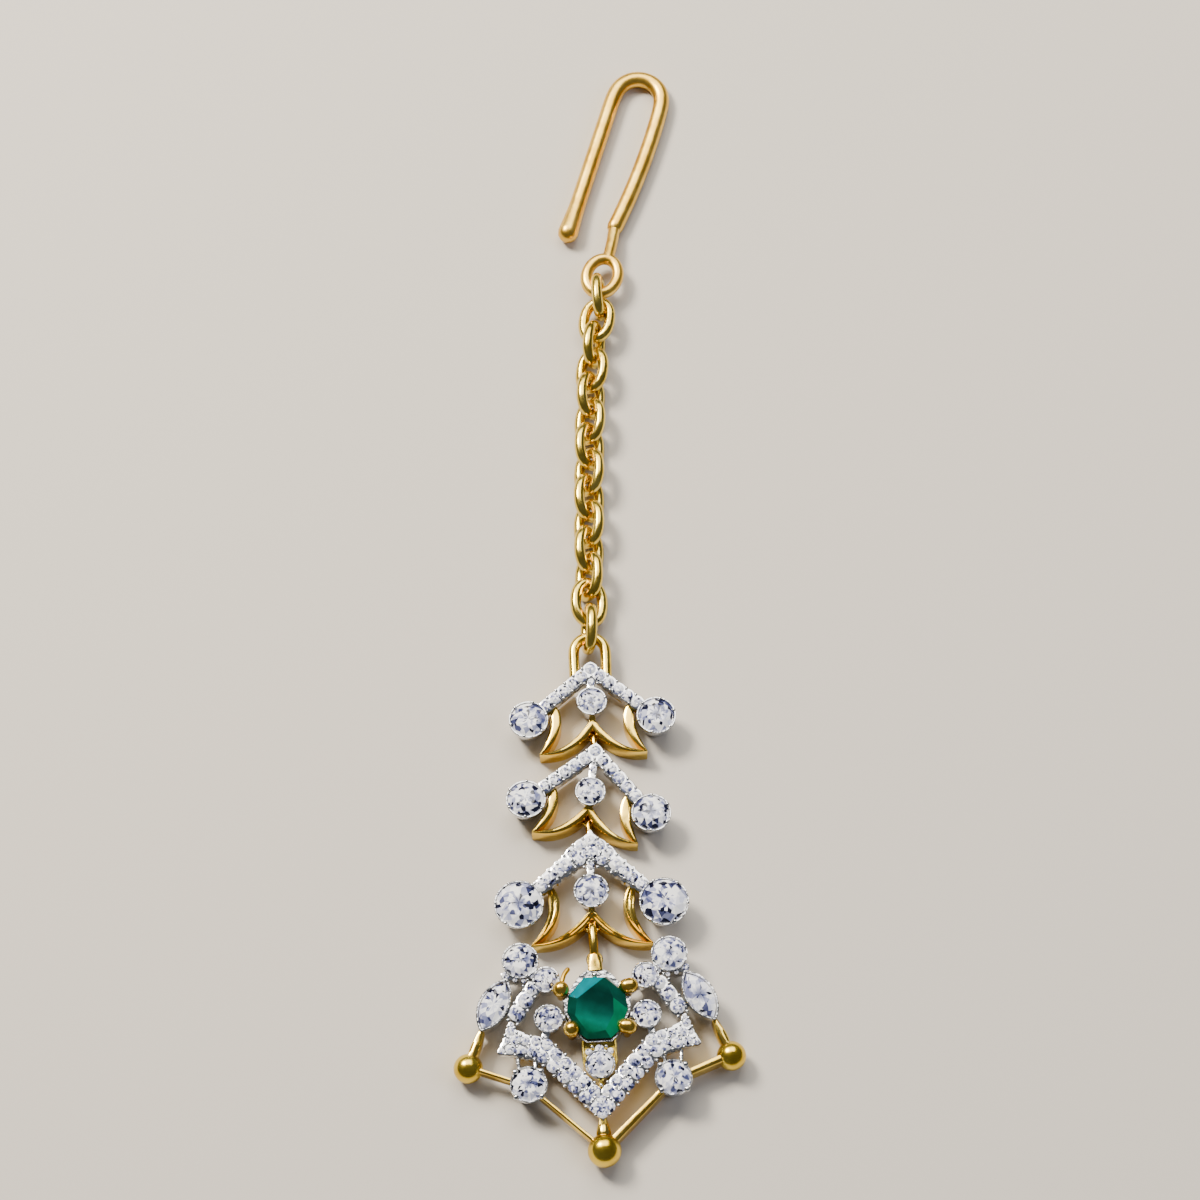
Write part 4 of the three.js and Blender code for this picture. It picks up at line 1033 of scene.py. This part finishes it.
def marquiseCut(s):
    outline = marquiseLine(s["stoneLength"], s["stoneWidth"], steps=6)
    count = len(outline)
    half = count // 2
    points = (level(outline[::2], s["crown"], *s["table"])
              + level(outline[1::2], s["crown"] * s["starHeight"], *s["star"])
              + level(outline, 0) + [Vector((0, 0, -s["depth"]))])
    culet = len(points) - 1
    faces = [list(range(half))]
    for k in range(half):
        n, p = (k + 1) % half, (k - 1) % half
        g, h, j = half * 2 + 2 * k, half * 2 + 2 * k + 1, half * 2 + (2 * k + 2) % count
        faces += [[k, half + k, n], [k, half + p, g, half + k], [half + k, g, h], [half + k, h, j],
                  [culet, h, g], [culet, j, h]]
    return points, faces


# The wall runs from the foot up outside, over the rim and down inside; its levels are told from the rim down
def marquiseSetting(s):
    outer = marquiseLine(s["length"], s["width"], steps=14)
    foot, high = heights["colletFoot"], heights["rim"] + s["rise"]
    wall = [level(outer, foot, *s["foot"])]
    wall += [level(outer, high - under, wide, deep) for wide, deep, under in s["wall"]]
    wall.append(level(outer, foot + s["floor"], *s["inside"]))
    return skinned(wall, closed=True)


marquiseX, marquiseY, lean = marquise["x"], marquise["y"], marquise["lean"]
settingParts.append(bothSides(moved(marquiseSetting(marquise), marquiseX, marquiseY, 0, lean)))
spots = [flat(side * marquiseX, marquiseY, heights["girdle"], 1, side * lean) for side in (1, -1)]
repeated("marquiseStones", "drop", marquiseCut(marquise), spots, diamond, "stone",
         ["drop_stone_marquise_left", "drop_stone_marquise_right"], seeds["marquises"])
print("marquises done")

# Emerald. Each facet's painted light or shade goes by the way that it leans: under the first angle that it
# stays below.
emerald = {
    "outline": [(1.05, 2.47), (2.5, 0.84), (2.69, -0.6), (1.72, -2.6), (1.04, -3.17)],
    "table": [(-1.75, 0.38), (0.72, 2.12), (1.42, 0.3), (1.38, -1.1), (0.6, -2.5), (-0.9, -2.75),
              (-2.0, -1.1)],
    "girdle": 3.0, "girdleBand": (0.03, -0.05), "crown": 0.62, "tilt": 8, "depth": 1.9, "step": 0.66,
    "stepDepth": 0.5, "culet": (0, -0.2), "tableTone": 1, "flatFrom": 0.98,
    "tones": [(-135, 0.1), (-72, 0.5), (-18, 0.7), (14, 0.4), (80, 0.3), (108, 0.8), (165, 0.95),
              (181, 0.1)]}


def grown(outline, length):
    return [(x * (1 + length / math.hypot(x, y)), y * (1 + length / math.hypot(x, y))) for x, y in outline]


def emeraldRound(length):
    return grown(emerald["outline"][::-1] + [(-x, y) for x, y in emerald["outline"]], length)


def hullOf(points):
    work = bmesh.new()
    for point in points:
        work.verts.new(point)
    bmesh.ops.convex_hull(work, input=work.verts)
    bmesh.ops.dissolve_limit(work, angle_limit=math.radians(2), verts=work.verts, edges=work.edges)
    work.verts.index_update()
    part = [v.co.copy() for v in work.verts], [[v.index for v in face.verts] for face in work.faces]
    work.free()
    return part


# The crown's facets run from the outline to a lopsided, tilted table; the pavilion steps in twice
def emeraldCut(s):
    outline = emeraldRound(0)
    slope = math.tan(math.radians(s["tilt"]))
    points = [Vector((x, y, s["crown"] + slope * y)) for x, y in s["table"]]
    points += [p for z in s["girdleBand"] for p in level(outline, z)]
    points += level(outline, -s["depth"] * s["stepDepth"], s["step"], s["step"])
    points.append(Vector((*s["culet"], -s["depth"])))
    return moved(hullOf(points), z=s["girdle"])


def paintFacetLight(piece, s):
    tones = []
    for face in piece.data.polygons:
        angle = math.degrees(math.atan2(face.normal.y, face.normal.x))
        leaning = face.normal.z < s["flatFrom"]
        # painted light or shade by the direction the facet faces
        tone = next(tone for limit, tone in s["tones"] if angle < limit)
        tones.append(tone if leaning else s["tableTone"])
    piece.data.attributes.new("facet", "FLOAT", "FACE").data.foreach_set("value", tones)


emeraldPiece = finished(
    "emeraldStone", "drop", emeraldCut(emerald), emeraldGreen, "stone", ["emerald"])
paintFacetLight(emeraldPiece, emerald)
print("emerald done")

# The emerald's seat: a wall that follows the stone and runs up to a roof over its upper corner
seat = {"wall": 0.2, "foot": 0.5, "top": 2.72, "apex": 3.72, "roof": [(1.42, 2.82), (3.02, 0.7)],
        "step": 0.325, "stoneGap": 0.03, "edge": 0.07, "lip": 0.985}


# Where the ray from the middle through each point meets the outline
def towards(points, outline):
    outline = [Vector(p) for p in outline]
    result = []
    for point in points:
        ray = point.normalized()
        best = None
        for a, b in zip(outline, outline[1:] + outline[:1]):
            edge = b - a
            bottom = ray.x * edge.y - ray.y * edge.x
            if abs(bottom) < 1e-9:
                continue
            reach = (a.x * edge.y - a.y * edge.x) / bottom
            share = (a.x * ray.y - a.y * ray.x) / bottom
            if reach > 0 and -1e-6 <= share <= 1 + 1e-6:
                best = reach if best is None else min(best, reach)
        result.append(ray * best)
    return result


# The hole's points answer to the outer ones one by one
def seatShape(s):
    side = s["roof"] + grown(emerald["outline"][2:], s["wall"])
    outer = spaced(side[::-1] + [(0, s["apex"])] + [(-x, y) for x, y in side], s["step"])
    hole = towards(outer, emeraldRound(s["stoneGap"]))
    foot, top = s["foot"], s["top"]
    return skinned([
        level(outer, foot), level(outer, top - s["edge"]), level(outer, top, s["lip"], s["lip"]),
        level(hole, top), level(hole, foot)], closed=True)


settingParts.append(seatShape(seat))

# The shield setting under the emerald
shield = {"halfWidth": 1.52, "top": -2.5, "shoulder": -5.0, "cheek": 0.6, "tip": -7.1, "tipRise": 1.15,
          "stoneY": -5.3, "stone": 1.13, "collet": 0.2, "stoneOver": 0.02, "stoneTurn": 8, "wall": 0.2,
          "edge": 0.05, "lip": 0.15, "lipDrop": 0.06, "floor": 1.9, "high": 2.5,
          "small": [(0, -3.92, 0.4), (0.95, -4.15, 0.3), (-0.95, -4.15, 0.3)]}


def shieldShape(s):
    half, high = s["halfWidth"], s["high"]
    start, shoulder = (half * 0.5, s["tip"] + s["tipRise"]), s["shoulder"]
    cheek = bent(start, (half, shoulder - s["cheek"]), (half, shoulder), steps=6)
    right = [(0, s["tip"])] + [tuple(p) for p in cheek] + [(half, s["top"])]
    outer = [Vector(p) for p in right + [(-x, y) for x, y in right[1:][::-1]]]
    inner = inset(outer, s["wall"])
    return skinned([
        level(outer, heights["colletFoot"]), level(outer, high - s["edge"]),
        level(inset(outer, s["edge"]), high), level(inset(outer, s["lip"]), high),
        level(inner, high - s["lipDrop"]), level(inner, s["floor"])])


finished("shieldLip", "drop", shieldShape(shield), chainGold, "setting")
settingParts.append(moved(colletShape(shield["stone"] + shield["collet"]), 0, shield["stoneY"]))
shieldRadius = shield["stone"] + shield["stoneOver"]
roundSpots.append(flat(0, shield["stoneY"], heights["girdle"], shieldRadius, shield["stoneTurn"]))
roundNodes.append("drop_stone_shield")
paveStones += shield["small"]
print("seat and shield done")

# Struts of the drop in white gold, as (start, end, width)
struts = {
    "side": [((5.75, -5.6), (5.55, -4.6), 0.34), ((7.1, -5.6), (7.2, -4.3), 0.34),
             ((4.5, -1.9), (4.9, -3.2), 0.7), ((2.9, -0.9), (3.6, -1.1), 0.6),
             ((2.9, 1.5), (3.8, 2.1), 0.6)],
    "foot": 1.0, "top": 2.25}
for start, end, width in struts["side"]:
    settingParts.append(bothSides(strip([start, end], (width, width), struts["foot"], struts["top"])))
finished("dropSetting", "drop", joined(settingParts), whiteGold, "setting")

# Beads between the pavé stones, the pip that closes the seat's apex, and prongs, stronger on the low stones
dropBeads = {"rise": 0.05, "pip": (-0.1, 2.62, 3.15, 0.27), "prong": (4, 20, 0.15),
             "claw": (4, 45, 0.27), "clawIn": 0.08, "clawRise": 0.04}
beads = beadsBetween(paveStones, pave["bead"], heights["plate"] + dropBeads["rise"])
beads.append(flat(*dropBeads["pip"]))
for stone, (x, y, r) in drop.items():
    for side in (1, -1):
        if stone == "claw_set":
            beads += prongSpots(side * x, y, r - dropBeads["clawIn"], *dropBeads["claw"],
                                heights["rim"] + dropBeads["clawRise"])
        else:
            beads += prongSpots(side * x, y, r - setStone["prongIn"], *dropBeads["prong"])
repeated("dropBeads", "drop", bead, beads, whiteGold, "bead")
spots = stoneSpots(paveStones, pave["girdle"], turnsBetween["dropPave"])
repeated("dropPaveStones", "drop", smallCut(singleCut), spots, meleeDiamond, "stone",
         seed=seeds["dropPave"])
repeated("dropRoundStones", "drop", brilliant(fullCut), roundSpots, diamond, "stone", roundNodes,
         seeds["dropStones"])
print("settings and stones of the drop done")

# Yellow gold of the drop. Balls are (x, y, radius); strips are (line, widths, foot, top, edge).
balls = {"side": (11.56, -4.82, 1.32), "tip": (0, -12.77, 1.49), "under": 0.01}
rails = {
    "left": {"widths": (0.46, 0.34, 0.42), "foot": 0.95, "top": 2.05},
    "right": {"widths": (0.7, 0.52, 0.74), "foot": 0.5, "top": 2.15}, "edge": 0.12}
stem = {"width": 0.7, "foot": 0.7, "top": 2.25, "in": 0.25, "steps": 10, "waist": 0.75, "belly": 0.5,
        "flank": 0.7, "shoulder": 0.25, "crest": 0.08}
collar = {"y": (-10.5, -10.9, -11.3, -11.7, -12.0), "radii": [0.5, 0.62, 0.68, 0.62, 0.5], "z": 1.62}
goldStrips = {
    "flat brace": ([(0.35, -8.7), (2.5, -6.25), (4.9, -3.9), (7.4, -3.2)], (1.0, 1.0), 0, 1.8),
    "collar stem": ([(0, -9.7), (0, -10.6)], (0.6, 0.8), 0.75, 2.2),
    "shield stem": ([(0, -6.8), (0, -8.3)], (0.5, 0.5), 1.0, 2.2),
    "block": ([(0, 3.15), (0, 3.7), (0, 4.1)], (1.35, 1.3, 1.15), 0.5, 2.9, 0.25),
    "tongue": ([(0, 3.9), (0, 4.3), (0, 4.62)], (1.2, 1.08, 0.9), 2.3, 2.88, 0.25)}
dropEye = {"y": 4.62, "back": 3.5}


# A stem that swells in the middle, with a lens-like crest
def lensStem(start, end, s):
    line = bent(start, [(a + b) / 2 for a, b in zip(start, end)], end, s["steps"])
    along = (Vector(end) - Vector(start)).normalized()
    foot, top = s["foot"], s["top"]
    rings = []
    for i, (x, y) in enumerate(line):
        half = s["width"] / 2 * (s["waist"] + s["belly"] * math.sin(math.pi * i / s["steps"]))
        flank, low, high = half * s["flank"], top - s["shoulder"], top - s["crest"]
        right = [(half, foot), (half, low), (flank, high), (0, top)]
        rings.append(stoodAcross(x, y, along, right))
    return skinned(rings)


# From the side ball over the low stone to the tip ball; the left rail is the finer one
def railRun(s, side):
    start, middle, end = s["widths"]
    spots = [(side * x, y) for x, y in (balls["side"][:2], drop["claw_set"][:2], balls["tip"][:2])]
    return joined([
        strip(spots[:2], (start, middle), s["foot"], s["top"], rails["edge"]),
        strip(spots[1:], (middle, end), s["foot"], s["top"], rails["edge"])])


lean, reach = math.radians(marquise["lean"]), marquise["length"] / 2 - stem["in"]
stemFoot = (marquise["x"] + reach * math.sin(lean), marquise["y"] - reach * math.cos(lean))
goldParts = [
    railRun(rails["left"], -1), railRun(rails["right"], 1),
    bothSides(joined([lensStem(stemFoot, balls["side"][:2], stem), strip(*goldStrips["flat brace"])])),
    strip(*goldStrips["collar stem"]),
    moved(wire([(0, y, 0) for y in collar["y"]], collar["radii"], sides=22), z=collar["z"]),
    strip(*goldStrips["shield stem"]), strip(*goldStrips["block"]), strip(*goldStrips["tongue"]),
    eyeShape(dropEye["y"], bigEye, dropEye["back"])]
finished("dropRails", "drop", joined(goldParts), polishedGold, "gallery")


# Each ball is turned a hair under its size, so that it stays inside the solid's box
def ballShape(x, y, radius, under):
    return moved(globe(radius - under, sides=40, rings=22), x, y, radius + under)


sideX, sideY, sideRadius = balls["side"]
ballParts = [ballShape(side * sideX, sideY, sideRadius, balls["under"]) for side in (1, -1)]
ballParts.append(ballShape(*balls["tip"], balls["under"]))
finished("goldBalls", "drop", joined(ballParts), ballGold, "ball")
print("rails and balls done")

# Ball claws of the emerald: round beads on the left, thick wire ends bent over the stone on the right
claws = {
    "left": [(-3.14, 1.46), (-2.36, -2.2)], "right": [(2.84, 1.5), (2.52, -2.2)],
    "ball": 0.74, "tip": 0.68, "reach": 0.2, "inward": 0.3, "post": 0.36, "postZ": (0.9, 1.6, 2.6),
    "height": 3.08}


def clawShape(s):
    parts = []
    for x, y in s["left"] + s["right"]:
        if x < 0:
            parts.append(moved(globe(s["ball"], sides=28, rings=16), x, y, s["height"]))
        else:
            lean = Vector((-x, -y * s["inward"], 0)).normalized() * s["reach"]
            middle = Vector((x, y, s["height"]))
            parts.append(wire([middle - lean, middle, middle + lean], s["tip"], sides=22))
        parts.append(wire([(x, y, z) for z in s["postZ"]], s["post"], sides=14))
    return joined(parts)


finished("ballClaws", "drop", clawShape(claws), clawGold, "ball")

# The thin wire end beside the upper left claw
spareEnd = {"line": [(-3.1, 1.6, 3.1), (-3.0, 2.2, 3.0), (-2.78, 2.9, 2.8), (-2.45, 3.4, 2.6)],
            "radius": 0.22}
sparePart = wire(smoothLine(spareEnd["line"], steps=5), spareEnd["radius"], sides=14)
finished("spareClawEnd", "drop", sparePart, drawnGold, "ball")
print("claws done")

# Floor, lights and camera, in metres but for the camera's view
scene = bpy.context.scene
floor = {"reach": 2.0, "tint": "#C4BDB2", "roughness": 0.85}
lamps = {
    "keyLight": {"place": (-0.3, 0.25, 0.42), "size": (0.16, 0.16), "power": 6.6, "tint": "#FFF6E8"},
    "topLight": {"place": (-0.04, 0.33, 0.46), "size": (0.6, 0.4), "power": 4.4, "tint": "#FFFBF2"},
    "fillLight": {"place": (0.4, -0.05, 0.35), "size": (0.3, 0.3), "power": 1.2, "tint": "#E8EEFF"}}
lampAim = (0, -0.015, 0)
room = {"tint": "#AEB2BA", "strength": 0.26}
view = {"elevation": 65, "distance": 291.2, "aim": (0.889, 8.191), "lens": 92.6, "near": 0.01}


def floorPiece(s):
    mesh = bpy.data.meshes.new("paleFloor")
    corners = [(x * s["reach"], y * s["reach"], 0) for x, y in ((-1, -1), (1, -1), (1, 1), (-1, 1))]
    mesh.from_pydata(corners, [], [[0, 1, 2, 3]])
    material, tree, shader = startMaterial("palePlaster")
    fill(tree, shader, {"Base Color": colour(s["tint"]), "Roughness": s["roughness"]})
    mesh.materials.append(material)
    return shown("paleFloor", mesh)


def softbox(name, s):
    light = bpy.data.lights.new(name, "AREA")
    light.shape = "RECTANGLE"
    light.size, light.size_y = s["size"]
    light.energy = s["power"]
    light.color = colour(s["tint"])[:3]
    made = shown(name, light)
    made.location = s["place"]
    made.rotation_euler = (Vector(lampAim) - Vector(s["place"])).to_track_quat("-Z", "Y").to_euler()
    return made


lights = [softbox(name, s) for name, s in lamps.items()]
lights[2].visible_glossy = False  # the fill shows no image of itself in the metal
world = bpy.data.worlds.new("softRoom")
scene.world = world
world.use_nodes = True
fill(world.node_tree, world.node_tree.nodes["Background"], {0: colour(room["tint"]), 1: room["strength"]})

camera = shown("camera", bpy.data.cameras.new("camera"))
camera.data.lens = view["lens"]
camera.data.clip_start = view["near"]
lean = math.radians(view["elevation"])
aimX, aimY = (view["aim"][i] + places["tierOne"][i] for i in (0, 1))  # the aim is told from the first tier
camera.location = Vector((
    aimX, aimY - view["distance"] * math.cos(lean), view["distance"] * math.sin(lean))) * mm
camera.rotation_euler = (math.pi / 2 - lean, 0, 0)
scene.camera = camera
floorPiece(floor)
print("floor, lights and camera done")
